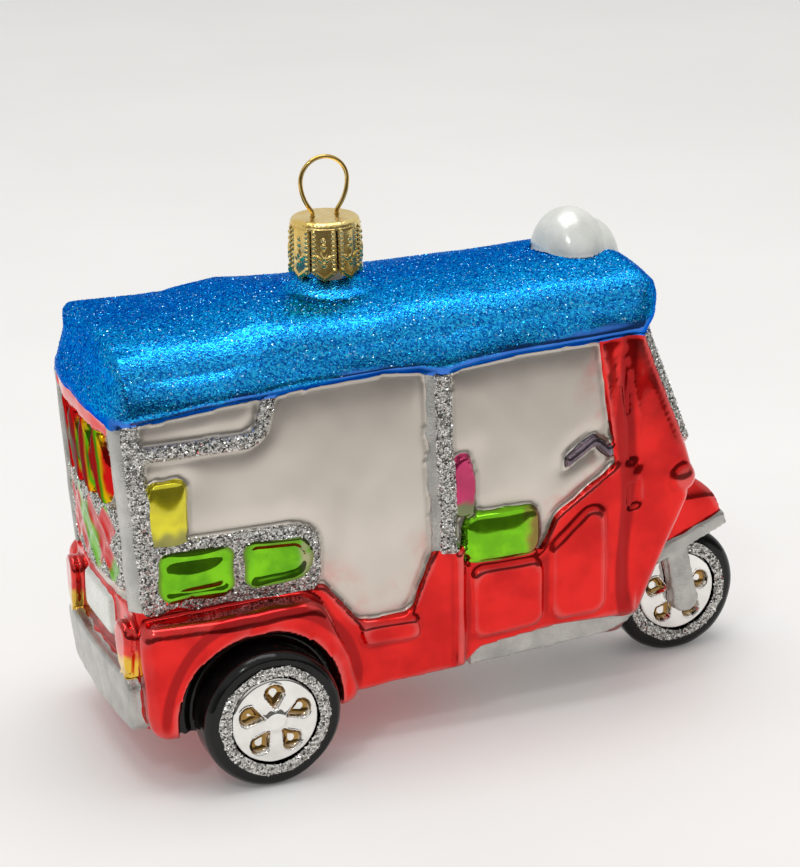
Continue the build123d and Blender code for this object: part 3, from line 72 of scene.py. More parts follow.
# The skin is remeshed from all of the moulded glass together
VOXEL = 0.5
SMOOTH_ROUNDS = 9
REACH = 2.2
FAR = 9.0
CAD_PULL_REACH = 0.6
BOX_INSET = 0.02
HUBS = ["rear_hubs", "front_hubs"]
NOT_GLASS_SKIN = {"neck", "cap", "hanger", *HUBS}
CUT_NODES = [n for n in nodes if n not in NOT_GLASS_SKIN] + HUBS
RED_NODES = ("lower_body", "front_fairing", "rear_fenders", "front_mudguard", "side_mouldings")


def make_camera():
    az, el, roll = (math.radians(a) for a in (CAMERA_AZIMUTH, CAMERA_ELEVATION, CAMERA_ROLL))
    back = Vector((math.sin(az) * math.cos(el), -math.cos(az) * math.cos(el), math.sin(el)))
    right = (-back).cross(Vector((0, 0, 1))).normalized()
    up = right.cross(-back)
    across = right * math.cos(roll) + up * math.sin(roll)
    upward = up * math.cos(roll) - right * math.sin(roll)
    data = bpy.data.cameras.new("camera")
    data.sensor_width = 36.0
    data.lens = CAMERA_LENS
    data.clip_start = 0.01
    data.clip_end = 20.0
    camera = bpy.data.objects.new("camera", data)
    turn = Matrix((across, upward, back)).transposed().to_4x4()
    camera.matrix_world = Matrix.Translation(Vector(CAMERA_PLACE) * MM) @ turn
    bpy.context.scene.collection.objects.link(camera)
    bpy.context.scene.camera = camera


make_camera()


# Small mesh helpers, all in millimetres until a piece is made

def mesh_arrays(mesh):
    mesh.calc_loop_triangles()
    points = np.empty(len(mesh.vertices) * 3, np.float32)
    mesh.vertices.foreach_get("co", points)
    tris = np.empty(len(mesh.loop_triangles) * 3, np.int32)
    mesh.loop_triangles.foreach_get("vertices", tris)
    return points.reshape(-1, 3).astype(float), tris.reshape(-1, 3)


def arrays_of(obj):
    points, tris = mesh_arrays(obj.data)
    return points / MM, tris


def joined(parts):
    points, tris, start = [], [], 0
    for p, t in parts:
        points.append(p)
        tris.append(t + start)
        start += len(p)
    return np.concatenate(points), np.concatenate(tris)


def raw_mesh(name, points, tris):
    mesh = bpy.data.meshes.new(name)
    mesh.vertices.add(len(points))
    mesh.vertices.foreach_set("co", np.ascontiguousarray(points, np.float32).ravel())
    mesh.loops.add(len(tris) * 3)
    mesh.loops.foreach_set("vertex_index", np.ascontiguousarray(tris, np.int32).ravel())
    mesh.polygons.add(len(tris))
    mesh.polygons.foreach_set("loop_start", np.arange(0, len(tris) * 3, 3, dtype=np.int32))
    mesh.update(calc_edges=True)
    mesh.validate()
    return mesh


def upright_disc(centre, radius, low, high, sides=48):
    """A closed round block with an upright axis, from low to high."""
    turn = np.arange(sides) * 2 * math.pi / sides
    points = np.zeros((2 * sides + 2, 3))
    for row, level in enumerate((low, high)):
        ring = slice(row * sides, (row + 1) * sides)
        points[ring, 0] = centre[0] + radius * np.cos(turn)
        points[ring, 1] = centre[1] + radius * np.sin(turn)
        points[ring, 2] = level
        points[2 * sides + row] = (centre[0], centre[1], level)
    i = np.arange(sides)
    j = (i + 1) % sides
    foot = np.full(sides, 2 * sides)
    walls = [np.stack((i, j, j + sides), 1), np.stack((i, j + sides, i + sides), 1)]
    ends = [np.stack((j, i, foot), 1), np.stack((i + sides, j + sides, foot + 1), 1)]
    return points, np.concatenate(walls + ends)


def remeshed(points, tris, voxel):
    work = bpy.data.objects.new("work", raw_mesh("work", points, tris))
    bpy.context.scene.collection.objects.link(work)
    step = work.modifiers.new("remesh", "REMESH")
    step.mode = "VOXEL"
    step.voxel_size = voxel
    shaped = work.evaluated_get(bpy.context.evaluated_depsgraph_get()).to_mesh()
    arrays = mesh_arrays(shaped)
    work_mesh = work.data
    bpy.data.objects.remove(work)
    bpy.data.meshes.remove(work_mesh)
    return arrays


def edges_of(tris):
    pairs = np.concatenate((tris[:, [0, 1]], tris[:, [1, 2]], tris[:, [2, 0]]))
    pairs.sort(axis=1)
    return np.unique(pairs, axis=0)


def smoothed(values, edges, rounds, gain=0.5, back_gain=-0.52):
    """Smooth values over the edges; the back step keeps the form from shrinking."""
    n = len(values)
    count = np.bincount(edges.ravel(), minlength=n).clip(1)
    flat = values.reshape(n, -1).copy()
    for step in range(rounds * 2):
        for c in range(flat.shape[1]):
            around = np.bincount(edges[:, 0], flat[edges[:, 1], c], n)
            around += np.bincount(edges[:, 1], flat[edges[:, 0], c], n)
            flat[:, c] += (around / count - flat[:, c]) * (gain if step % 2 == 0 else back_gain)
    return flat.reshape(values.shape)


def normals_of(points, tris):
    a, b, c = (points[tris[:, i]] for i in range(3))
    flat = np.cross(b - a, c - a)
    out = np.zeros_like(points)
    for i in range(3):
        for axis in range(3):
            out[:, axis] += np.bincount(tris[:, i], flat[:, axis], len(points))
    return out / np.linalg.norm(out, axis=1, keepdims=True).clip(1e-9)


def ripple(points, size, seed, waves=14):
    """Soft seeded waves of about the given size, from -1 to 1."""
    draw = np.random.default_rng(seed)
    ways = draw.normal(size=(waves, 3))
    ways *= (2 * math.pi / size) / np.linalg.norm(ways, axis=1, keepdims=True)
    ways *= draw.uniform(0.6, 1.5, (waves, 1))
    shift = draw.uniform(0, 2 * math.pi, waves)
    return np.sin(points @ ways.T + shift).sum(1) / math.sqrt(waves) * 0.7


# One continuous skin over all of the moulded glass

NECK_LOW, NECK_HIGH = (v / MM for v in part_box("neck"))
NECK_MIDDLE = (NECK_LOW + NECK_HIGH) / 2
PLUG_RADIUS = 5.0
plug = upright_disc(NECK_MIDDLE, PLUG_RADIUS, NECK_LOW.z - 3.0, NECK_LOW.z + 0.4)
solid_points, solid_tris = joined([arrays_of(nodes[n]) for n in CUT_NODES] + [plug])
skin_points, skin_tris = remeshed(solid_points, solid_tris, VOXEL)
skin_edges = edges_of(skin_tris)
skin_points = smoothed(skin_points, skin_edges, SMOOTH_ROUNDS)


def distances(points, names):
    """How far each point lies from each node, up to the reach, and the nearest place on any of them."""
    out = np.full((len(points), len(names)), FAR)
    place = points.copy()
    nearest = np.full(len(points), CAD_PULL_REACH)
    for column, name in enumerate(names):
        p, t = arrays_of(nodes[name])
        near = np.all((points > p.min(0) - REACH) & (points < p.max(0) + REACH), axis=1)
        tree = BVHTree.FromPolygons(p.tolist(), t.tolist())
        for i in np.flatnonzero(near):
            hit = tree.find_nearest(points[i], REACH)
            if hit[3] is not None:
                out[i, column] = hit[3]
                if hit[3] < nearest[i]:
                    nearest[i] = hit[3]
                    place[i] = hit[0]
    return out, place


fields, on_cad = distances(skin_points, CUT_NODES)
first_two = np.sort(fields, axis=1)[:, :2]
flatness = np.clip((first_two[:, 1] - first_two[:, 0] - 0.3) / 0.9, 0.0, 1.0)
skin_points = skin_points + (on_cad - skin_points) * smoothed(flatness, skin_edges, 2, 0.5, 0.5)[:, None]
skin_points = smoothed(skin_points, skin_edges, 2)

# Paint spreads a little over the slopes of these raised features
SPREAD = {
    "upper_rails": -0.2, "lower_rails": 0.1, "rear_pillars": 0.3, "centre_pillars": 0.3,
    "driver_seats": 0.3, "driver_backs": 0.3, "passenger_seats": 0.3, "handlebars": 0.25,
    "rear_lattice": 0.2, "windscreen_frame": 0.2, "tail_lamps": 0.2, "number_plate": 0.2,
    "mudguard_lip": 0.2, "belly": 0.4, "pillar_flanks": -0.35, "rail_panes": 1.25, "lattice_panes": 1.1,
    "rear_window": 0.4,
}
UNEVEN = {"belly": 0.7, "rear_bumper": 0.4, "roof": 0.25}
UNEVEN_ELSEWHERE = 0.16
for column, name in enumerate(CUT_NODES):
    fields[:, column] -= SPREAD.get(name, 0.0)
    fields[:, column] += UNEVEN.get(name, UNEVEN_ELSEWHERE) * ripple(skin_points, 5.5, 100 + column)


def smooth_step(low, high, value):
    t = np.clip((value - low) / (high - low), 0.0, 1.0)
    return t * t * (3 - 2 * t)


def box_of(name):
    low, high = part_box(name)
    return np.array(low) / MM, np.array(high) / MM


# Hand-made unevenness of the blown shape

skin_label = fields.argmin(1)
nearest_two = np.sort(fields, axis=1)[:, :2]
skin_margin = np.clip(nearest_two[:, 1] - nearest_two[:, 0], 0.0, REACH)
skin_normals = normals_of(skin_points, skin_tris)


def labelled(*names):
    return np.isin(skin_label, [CUT_NODES.index(n) for n in names])


ROOF_LOW, ROOF_HIGH = box_of("roof")
ROOF_RISE = 0.035


def roof_edge(x):
    return ROOF_LOW[2] + ROOF_RISE * (x - ROOF_LOW[0])


def edge_wave(x):
    return np.interp(x, (-65, -58, -45, -30, -14, -7, -3, 1, 10, 34, 42),
                     (-0.3, -0.5, 0.2, 0.9, 1.3, 0.5, -1.0, -0.3, 0.3, 0.5, 0.0))


def skyline_wave(x):
    return np.interp(x, (-65, -50, -43, -38, -33, -28, -20), (0.0, 0.0, -0.3, 0.4, 1.2, 0.8, 0.2))


def dome(name, parts):
    """1 in the middle of each patch of a side feature, 0 at its border; patches stand in a row along X."""
    mine = np.flatnonzero(labelled(name))
    x = skin_points[mine, 0]
    split = np.array([x.min() - 1, x.max() + 1])
    if parts == 2:
        bins = np.histogram(x, 60)
        middle = np.argmin(bins[0][15:45]) + 15
        split = np.array([split[0], (bins[1][middle] + bins[1][middle + 1]) / 2, split[1]])
    out = np.zeros(len(skin_points))
    for low, high in zip(split[:-1], split[1:]):
        patch = mine[(x >= low) & (x < high)]
        shape = 1.0
        for axis in (0, 2):
            v = skin_points[patch, axis]
            shape = shape * np.clip(1 - ((2 * v - v.min() - v.max()) / (v.max() - v.min())) ** 2, 0, 1)
        out[patch] = shape
    return out


PILLOW = {
    "driver_backs": 0.4, "lattice_panes": 0.3, "tail_lamps": 0.3, "handlebars": 0.2, "rear_window": 0.2,
}
DOMES = (("rail_panes", 2, 1.5), ("driver_seats", 1, 0.9), ("passenger_seats", 1, 1.0))
CALM_NODES = ("cabin", "windscreen", "front_fairing")
FRONT_POST_GROOVE_X = 33.9
ARCH_RING_RADIUS = 14.4
TYRE_RING_RADIUS = 11.6


def rear_wheel_radius(points):
    low, high = box_of("rear_rims")
    middle = (low + high) / 2
    return np.hypot(points[:, 0] - middle[0], points[:, 2] - middle[2])


def surface_push():
    """How far each skin point moves along its normal: waves, pillows, domes, grooves and wheel rings."""
    x, y, z = skin_points.T
    calm = np.where(labelled(*CALM_NODES), 0.3, 1.0)
    push = calm * (0.12 * ripple(skin_points, 17.0, 7) + 0.04 * ripple(skin_points, 6.0, 8))
    swell = smooth_step(0.0, REACH, skin_margin)
    for name, amount in PILLOW.items():
        push += labelled(name) * amount * swell
    for name, parts, amount in DOMES:
        push += labelled(name) * amount * dome(name, parts)
    soft_cabin = smoothed(labelled("cabin").astype(float), skin_edges, 26, 0.5, 0.5)
    push += labelled("cabin") * (1.1 * (soft_cabin - 0.75) + 0.05 * ripple(skin_points, 24.0, 21) * swell)
    still = np.where(x > 30.0, 0.35, 1.0)
    waves = 0.20 * ripple(skin_points, 21.0, 31) + 0.06 * ripple(skin_points, 8.0, 32)
    push += labelled(*RED_NODES) * still * waves
    groove = np.exp(-((x - FRONT_POST_GROOVE_X) / 1.3) ** 2) * smooth_step(17, 22, z) * (np.abs(y) > 13)
    push -= labelled("front_fairing", "lower_body") * 0.45 * groove
    radius = rear_wheel_radius(skin_points)
    push += labelled("wheel_arches") * 0.42 * np.exp(-((radius - ARCH_RING_RADIUS) / 0.5) ** 2)
    push += labelled("rear_tyres") * 0.18 * np.exp(-((radius - TYRE_RING_RADIUS) / 0.4) ** 2)
    return push


ROOF_LEAN = 2.3
ROOF_NEAR_FALL = 2.7
ROOF_TAIL_LENGTH = 5.0
ROOF_TAIL_DROP = 3.0
ROOF_TAIL_LEAN = 1.8
ROOF_TAIL_CORNER = 2.0
ROOF_NOSE_SWELL = 1.2
ROOF_NOSE_TUCK = 1.8
ROOF_SIDE_WAVE = 0.5


def roof_far_fall(x):
    return np.interp(x, (-65, -45, -30, -10, 10, 30), (-0.8, -0.2, 1.0, 1.6, 3.2, 5.2))


def shape_roof(moved):
    """Lean the sides in, lower the edges, round the tail and swell the nose."""
    x, y, z = skin_points.T
    roof = labelled("roof")
    lift = z - roof_edge(x)
    near_edge = np.exp(-(lift / 2.6) ** 2) * (x < ROOF_HIGH[0] + 2)
    moved[:, 2] += edge_wave(x) * near_edge * smooth_step(10.0, 15.0, np.abs(y))
    moved[:, 2] += skyline_wave(x) * (roof * smooth_step(6.0, 10.0, lift))
    moved[:, 1] -= roof * ROOF_LEAN * np.clip((lift - 1.8) / 7.0, 0, 1) * y / ROOF_HIGH[1]
    fall = np.clip((np.abs(y) - 4.0) / (ROOF_HIGH[1] - 4.0), 0, 1.2) ** 2
    loaf = roof * smooth_step(2.0, 11.5, lift)
    moved[:, 2] -= loaf * fall * np.where(y < 0, ROOF_NEAR_FALL, roof_far_fall(x))
    tail = roof * np.clip((ROOF_LOW[0] + ROOF_TAIL_LENGTH - x) / ROOF_TAIL_LENGTH, 0, 1)
    corner = np.clip((np.abs(y) - 11.0) / (ROOF_HIGH[1] - 11.0), 0, 1) ** 2
    lean = ROOF_TAIL_LEAN * np.clip((lift - 2.0) / 8.0, 0, 1)
    moved[:, 2] -= smooth_step(2.0, 10.0, lift) * ROOF_TAIL_DROP * tail ** 2
    moved[:, 0] += tail * (lean + ROOF_TAIL_CORNER * corner * smooth_step(0.5, 4.0, lift))
    swell = np.exp(-((lift - 7.0) / 3.6) ** 2)
    moved[:, 0] += roof * ROOF_NOSE_SWELL * swell * smooth_step(28.0, 42.0, x)
    moved[:, 0] -= roof * ROOF_NOSE_TUCK * smooth_step(3.5, 0.0, lift) * smooth_step(34.0, 42.0, x)
    side = roof * smooth_step(15.0, 19.0, np.abs(y)) * smooth_step(1.0, 4.0, lift)
    moved += skin_normals * (side * ROOF_SIDE_WAVE * ripple(skin_points, 21.0, 41))[:, None]


NECK_FLARE_RISE = 4.2
NECK_FLARE_START = 4.6


def flare_neck(moved):
    """Bring the roof smoothly up to the foot of the neck, from the plane of the deck around it."""
    x, y, z = skin_points.T
    roof = labelled("roof")
    around = np.hypot(x - NECK_MIDDLE.x, y - NECK_MIDDLE.y)
    ring = roof & (around > 10.0) & (around < 13.0) & (skin_normals[:, 2] > 0.7)
    deck = np.linalg.lstsq(np.stack((x[ring], np.ones(ring.sum())), 1), moved[ring, 2], rcond=None)[0]
    flare = NECK_FLARE_RISE * np.exp(-np.clip(around - NECK_FLARE_START, 0, None) / 2.0)
    level = deck[0] * x + deck[1] + flare
    near_neck = roof * smooth_step(10.5, 8.0, around) * (z - roof_edge(x) > 8.0)
    moved[:, 2] += near_neck * (level - moved[:, 2])


def settle_lamp(moved):
    """Spread the foot of the roof lamp and sink it a little into the roof."""
    low, high = box_of("roof_lamp")
    foot = labelled("roof_lamp") * smooth_step(high[2], low[2] + 2.0, skin_points[:, 2])
    moved[:, 1] += foot * 0.32 * skin_points[:, 1]
    moved[:, 2] -= foot * 1.0


def shape_skin():
    moved = skin_points + skin_normals * surface_push()[:, None]
    shape_roof(moved)
    flare_neck(moved)
    settle_lamp(moved)
    return np.clip(moved, CAD_LOW, CAD_HIGH)


CAD_LOW = np.array(cad_low) / MM + BOX_INSET
CAD_HIGH = np.array(cad_high) / MM - BOX_INSET
skin_points = shape_skin()
skin_normals = normals_of(skin_points, skin_tris)

# How far each point stands out over a ridge or sinks into a hollow; the paints use it for painted
# highlights over ridges and painted shade in hollows
blurred = smoothed(skin_points, skin_edges, 3, 0.5, 0.5)
skin_ridge = ((skin_points - blurred) * skin_normals).sum(1)
skin_ridge = smoothed(np.clip(skin_ridge / 0.16, -1.0, 1.0), skin_edges, 1, 0.5, 0.5) * 0.5 + 0.5


def nearness(mask, names, reach):
    """1 beside the named nodes, falling to 0 at the reach, for the masked skin points."""
    points, tris = joined([arrays_of(nodes[n]) for n in names])
    tree = BVHTree.FromPolygons(points.tolist(), tris.tolist())
    out = np.zeros(len(mask))
    for i in np.flatnonzero(mask):
        hit = tree.find_nearest(skin_points[i], reach)
        if hit[3] is not None:
            out[i] = 1.0 - hit[3] / reach
    return out


RED_BLUSH_REACH = 7.0
skin_blush_and_dark_reflection = nearness(labelled("cabin"), ["lower_body", "front_fairing"], RED_BLUSH_REACH)
FRONT_POST_BAND_X = 34.0
FENDER_ARC_RADIUS = 18.8


def red_dark_reflection_bands(points):
    """Painted dark reflection bands in the red: an upright band on each front post and an arc over each
    rear wheel.
    """
    x, y, z = points.T
    bend = 0.9 * ripple(points * np.array((1, 1, 0.5)), 16.0, 45)
    post_band = np.exp(-((x - FRONT_POST_BAND_X - bend) / 1.5) ** 4)
    off_arc = rear_wheel_radius(points) - FENDER_ARC_RADIUS + 0.6 * bend
    arc = np.exp(-(off_arc / 1.0) ** 4) * smooth_step(9.0, 15.0, z) * (x < 5)
    return np.maximum(post_band * (x > 26), arc)


# On the red nodes these values are painted dark reflection bands; on the pearl they are the pink blush
# beside the red
skin_blush_and_dark_reflection = np.where(labelled(*RED_NODES), red_dark_reflection_bands(skin_points), skin_blush_and_dark_reflection)
skin_extra = np.stack((skin_ridge, skin_margin, skin_blush_and_dark_reflection), 1)


def cut_by_label(points, normals, extras, tris, field):
    """Split the skin where two features lie equally near, and give each its own triangles."""
    label = field.argmin(1)
    corner = label[tris]
    same = (corner[:, 0] == corner[:, 1]) & (corner[:, 1] == corner[:, 2])
    owner = [corner[same, 0]]
    kept = [tris[same]]
    extra, extra_normals, extra_values, known = [], [], [], {}

    def crossing(i, j):
        a, b = label[i], label[j]
        key = (i, j) if i < j else (j, i)
        if key not in known:
            di = field[i, b] - field[i, a]
            dj = field[j, a] - field[j, b]
            t = float(np.clip(di / max(di + dj, 1e-9), 0.04, 0.96))
            extra.append(points[i] * (1 - t) + points[j] * t)
            extra_normals.append(normals[i] * (1 - t) + normals[j] * t)
            extra_values.append(extras[i] * (1 - t) + extras[j] * t)
            known[key] = len(points) + len(extra) - 1
        return known[key]

    made, made_owner = [], []
    for tri in tris[~same]:
        labels = label[tri]
        if len(set(labels.tolist())) == 3:
            i, j, k = tri
            ij, jk, ki = crossing(i, j), crossing(j, k), crossing(k, i)
            middle = (points[i] + points[j] + points[k]) / 3
            extra.append(middle)
            extra_normals.append((normals[i] + normals[j] + normals[k]) / 3)
            extra_values.append((extras[i] + extras[j] + extras[k]) / 3)
            m = len(points) + len(extra) - 1
            made += [(i, ij, m), (i, m, ki), (j, jk, m), (j, m, ij), (k, ki, m), (k, m, jk)]
            made_owner += [labels[0]] * 2 + [labels[1]] * 2 + [labels[2]] * 2
            continue
        odd = 0 if labels[1] == labels[2] else (1 if labels[0] == labels[2] else 2)
        i, j, k = tri[odd], tri[(odd + 1) % 3], tri[(odd + 2) % 3]
        ij, ki = crossing(i, j), crossing(k, i)
        made += [(i, ij, ki), (ij, j, k), (ij, k, ki)]
        made_owner += [label[i], label[j], label[j]]
    kept.append(np.array(made, np.int32).reshape(-1, 3))
    owner.append(np.array(made_owner, int))
    all_points = np.concatenate((points, np.array(extra).reshape(-1, 3)))
    all_normals = np.concatenate((normals, np.array(extra_normals).reshape(-1, 3)))
    all_normals /= np.linalg.norm(all_normals, axis=1, keepdims=True).clip(1e-9)
    all_values = np.concatenate((extras, np.array(extra_values).reshape(-1, extras.shape[1])))
    return all_points, all_normals, all_values, np.concatenate(kept), np.concatenate(owner)


cut_points, cut_normals, cut_extra, cut_tris, cut_owner = cut_by_label(
    skin_points, skin_normals, skin_extra, skin_tris, fields)


def piece(name, points, tris, normals, material, body="glass", replaced=(), values=None):
    """A visible piece on one body; its values become point attributes for the paint."""
    used = np.unique(tris)
    place = np.zeros(len(points), np.int32)
    place[used] = np.arange(len(used))
    mesh = raw_mesh(name, points[used] * MM, place[tris])
    mesh.polygons.foreach_set("use_smooth", np.ones(len(mesh.polygons), bool))
    if normals is not None:
        mesh.normals_split_custom_set_from_vertices(normals[used].tolist())
    for key, value in (values or {}).items():
        layer = mesh.attributes.new(key, "FLOAT", "POINT")
        layer.data.foreach_set("value", np.ascontiguousarray(value[used], np.float32))
    obj = bpy.data.objects.new(name, mesh)
    bpy.context.scene.collection.objects.link(obj)
    mesh.materials.append(material)
    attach(obj, body)
    if replaced:
        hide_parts(*replaced)
    return obj


# Materials

NOISE_ROUGHNESS = 0.55


class Paint:
    """A node tree with one Principled shader, built up by short calls."""

    def __init__(self, name, **sockets):
        self.material = bpy.data.materials.new(name)
        self.material.use_nodes = True
        self.tree = self.material.node_tree
        self.shader = self.tree.nodes["Principled BSDF"]
        self.place = self.node("ShaderNodeTexCoord").outputs["Object"]
        self.bumped = None
        for key, value in sockets.items():
            self.set(key, value)

    def node(self, kind, **settings):
        made = self.tree.nodes.new(kind)
        for key, value in settings.items():
            setattr(made, key, value)
        return made

    def link(self, out, into):
        self.tree.links.new(out, into)

    def feed(self, socket, value):
        if isinstance(value, bpy.types.NodeSocket):
            self.link(value, socket)
        elif isinstance(value, tuple):
            socket.default_value = (*value, 1.0)
        else:
            socket.default_value = value

    def set(self, key, value):
        self.feed(self.shader.inputs[key.replace("_", " ")], value)

    def noise(self, size, detail=3.0):
        made = self.node("ShaderNodeTexNoise")
        made.inputs["Scale"].default_value = 1.0 / (size * MM)
        made.inputs["Detail"].default_value = detail
        made.inputs["Roughness"].default_value = NOISE_ROUGHNESS
        self.link(self.place, made.inputs["Vector"])
        return made.outputs["Fac"]

    def cells(self, size, output="Distance"):
        made = self.node("ShaderNodeTexVoronoi", feature="F1")
        made.inputs["Scale"].default_value = 1.0 / (size * MM)
        self.link(self.place, made.inputs["Vector"])
        return made.outputs[output]

    def ramp(self, value, *stops):
        made = self.node("ShaderNodeValToRGB")
        made.color_ramp.interpolation = "EASE"
        elements = made.color_ramp.elements
        while len(elements) < len(stops):
            elements.new(0.5)
        for element, (where, colour) in zip(elements, stops):
            element.position = where
            element.color = (*colour, 1.0) if isinstance(colour, tuple) else (colour, colour, colour, 1.0)
        self.link(value, made.inputs["Fac"])
        return made.outputs["Color"]

    def mix(self, amount, a, b):
        made = self.node("ShaderNodeMix", data_type="RGBA", blend_type="MIX")
        for key, value in ((0, amount), (6, a), (7, b)):
            self.feed(made.inputs[key], value)
        return made.outputs[2]

    def math(self, how, a, b=0.0):
        made = self.node("ShaderNodeMath", operation=how)
        for key, value in ((0, a), (1, b)):
            self.feed(made.inputs[key], value)
        return made.outputs[0]

    def split(self, colour, channel):
        made = self.node("ShaderNodeSeparateColor")
        self.link(colour, made.inputs["Color"])
        return made.outputs[channel]

    def mask(self, name):
        made = self.node("ShaderNodeAttribute", attribute_name=name)
        return made.outputs["Fac"]

    def bump(self, height, strength, distance):
        made = self.node("ShaderNodeBump")
        made.inputs["Strength"].default_value = strength
        made.inputs["Distance"].default_value = distance * MM
        self.link(height, made.inputs["Height"])
        if self.bumped is not None:
            self.link(self.bumped, made.inputs["Normal"])
        self.bumped = made.outputs["Normal"]
        self.link(self.bumped, self.shader.inputs["Normal"])


def lacquer_red():
    p = Paint("red_lacquer", Metallic=0.96, Coat_Weight=0.35, Coat_Roughness=0.02)
    base = p.ramp(p.noise(9.0, 4.0), (0.3, (0.64, 0.007, 0.006)), (0.65, (0.88, 0.018, 0.014)))
    # Painted highlight: lighter pink over ridges; painted shade: near-black red in hollows
    ridge_highlight = p.ramp(p.mask("ridge"), (0.60, 0.0), (0.98, 0.45))
    hollow_shade = p.ramp(p.mask("ridge"), (0.08, 0.7), (0.42, 0.0))
    base = p.mix(ridge_highlight, base, (0.80, 0.21, 0.20))
    base = p.mix(hollow_shade, base, (0.34, 0.002, 0.002))
    # Painted dark reflection: deep red bands where the blush attribute marks them on the red nodes
    base = p.mix(p.ramp(p.mask("blush_and_dark_reflection"), (0.05, 0.0), (0.8, 0.85)), base, (0.38, 0.001, 0.002))
    p.set("Base Color", base)
    p.set("Roughness", p.ramp(p.noise(4.0), (0.3, 0.13), (0.7, 0.21)))
    p.bump(p.noise(3.2, 2.0), 0.12, 0.10)
    return p.material


def pearl_white():
    p = Paint("pearl_white", Metallic=0.78, Coat_Weight=0.25, Coat_Roughness=0.2)
    base = p.ramp(p.noise(22.0, 2.0), (0.25, (0.74, 0.665, 0.59)), (0.75, (0.84, 0.765, 0.685)))
    blush_and_dark_reflection = p.math("MULTIPLY", p.mask("blush_and_dark_reflection"), p.ramp(p.noise(7.0), (0.40, 0.05), (0.62, 0.9)))
    base = p.mix(blush_and_dark_reflection, base, (0.80, 0.40, 0.37))
    # Painted shade: the pearl turns greyer in hollows, from the ridge mask
    base = p.mix(p.ramp(p.mask("ridge"), (0.05, 0.6), (0.35, 0.0)), base, (0.38, 0.36, 0.31))
    p.set("Base Color", base)
    p.set("Roughness", p.ramp(p.noise(6.0), (0.3, 0.29), (0.7, 0.36)))
    p.bump(p.noise(9.0, 1.0), 0.05, 0.2)
    return p.material


def glitter_base(name, dark, middle, light, size, metallic=0.95, plain=None, bump=0.8, rough=(0.16, 0.5)):
    p = Paint(name, Metallic=metallic, Specular_Tint=middle)
    grain = p.split(p.cells(size, output="Color"), 0)
    base = p.ramp(grain, (0.05, dark), (0.5, middle), (0.95, light))
    rough = p.ramp(p.split(p.cells(size, output="Color"), 1), (0.0, rough[0]), (1.0, rough[1]))
    height = p.cells(size)
    if plain:
        bare = p.mask("tone")
        base = p.mix(bare, base, p.ramp(p.noise(6.0), (0.3, plain[0]), (0.7, plain[1])))
        rough = p.mix(bare, rough, (0.12, 0.12, 0.12))
        height = p.mix(bare, height, (0.3, 0.3, 0.3))
    p.set("Base Color", base)
    p.set("Roughness", rough)
    p.bump(height, bump, 0.22)
    return p.material


def flake_paint(name, *stops):
    p = Paint(name, Metallic=1.0, Specular_Tint=stops[1][1])
    tone = p.split(p.cells(0.4, output="Color"), 2)
    p.set("Base Color", p.ramp(tone, *stops))
    p.set("Roughness", p.ramp(p.noise(1.0), (0.3, 0.14), (0.7, 0.26)))
    return p.material


def gloss(name, dark, light, size=6.0, metallic=0.0, rough=(0.08, 0.2), coat=1.0, bump=0.15,
          second=None, edge_shade=None, grain=None):
    """A lacquer of two close tones; a second colour by the tone mask, and a darker edge colour at its
    border, a painted shade in the crease around the feature.
    """
    p = Paint(name, Metallic=metallic, Coat_Weight=coat, Coat_Roughness=0.03)
    base = p.ramp(p.noise(size), (0.3, dark), (0.7, light))
    if second:
        other = p.ramp(p.noise(size), (0.3, tuple(0.7 * c for c in second)), (0.7, second))
        base = p.mix(p.mask("tone"), base, other)
    if edge_shade:
        # Painted shade: the edge colour darkens the border of the feature
        base = p.mix(p.ramp(p.mask("margin"), (0.1, 0.85), (0.75, 0.0)), base, edge_shade)
    p.set("Base Color", base)
    p.set("Roughness", p.ramp(p.noise(size * 0.6), (0.3, rough[0]), (0.7, rough[1])))
    if grain:
        p.bump(p.cells(grain), 0.5, 0.12)
    p.bump(p.noise(2.5, 2.0), bump, 0.12)
    return p.material


def petal_colours():
    p = Paint("rear_petals", Metallic=0.95, Specular_Tint=(0.25, 0.25, 0.25))
    hue = p.math("ADD", p.mask("tone"), p.math("MULTIPLY", p.noise(3.0), 0.25))
    p.set("Base Color", p.ramp(hue, (0.16, (0.62, 0.01, 0.01)), (0.42, (0.80, 0.48, 0.01)),
                               (0.70, (0.10, 0.42, 0.01)), (1.0, (0.62, 0.01, 0.01))))
    p.set("Roughness", p.ramp(p.noise(3.0), (0.3, 0.07), (0.7, 0.16)))
    p.bump(p.noise(2.0, 2.0), 0.2, 0.12)
    return p.material


RED = lacquer_red()
PEARL = pearl_white()
BLUE = glitter_base("blue_glitter", (0.004, 0.10, 0.42), (0.012, 0.29, 0.78), (0.03, 0.55, 0.98), 0.30,
                    metallic=1.0, plain=((0.04, 0.16, 0.60), (0.07, 0.23, 0.78)), bump=0.25,
                    rough=(0.16, 0.36))
STRIP = glitter_base("silver_glitter", (0.06, 0.06, 0.06), (0.55, 0.54, 0.51), (0.98, 0.97, 0.94), 0.36)
BLACK = gloss("black_gloss", (0.003, 0.003, 0.003), (0.008, 0.008, 0.008), rough=(0.08, 0.18), coat=0.0)
BLACK.node_tree.nodes["Principled BSDF"].inputs["Specular IOR Level"].default_value = 0.32
GREY = gloss("matte_silver", (0.44, 0.44, 0.42), (0.62, 0.61, 0.58), metallic=0.75, rough=(0.26, 0.42),
             coat=0.1, grain=0.3)
GREEN = gloss("lime_green", (0.16, 0.50, 0.006), (0.27, 0.76, 0.010), 5.0, 0.97, (0.08, 0.16), 0.3,
              second=(0.34, 0.24, 0.05), edge_shade=(0.10, 0.16, 0.02))
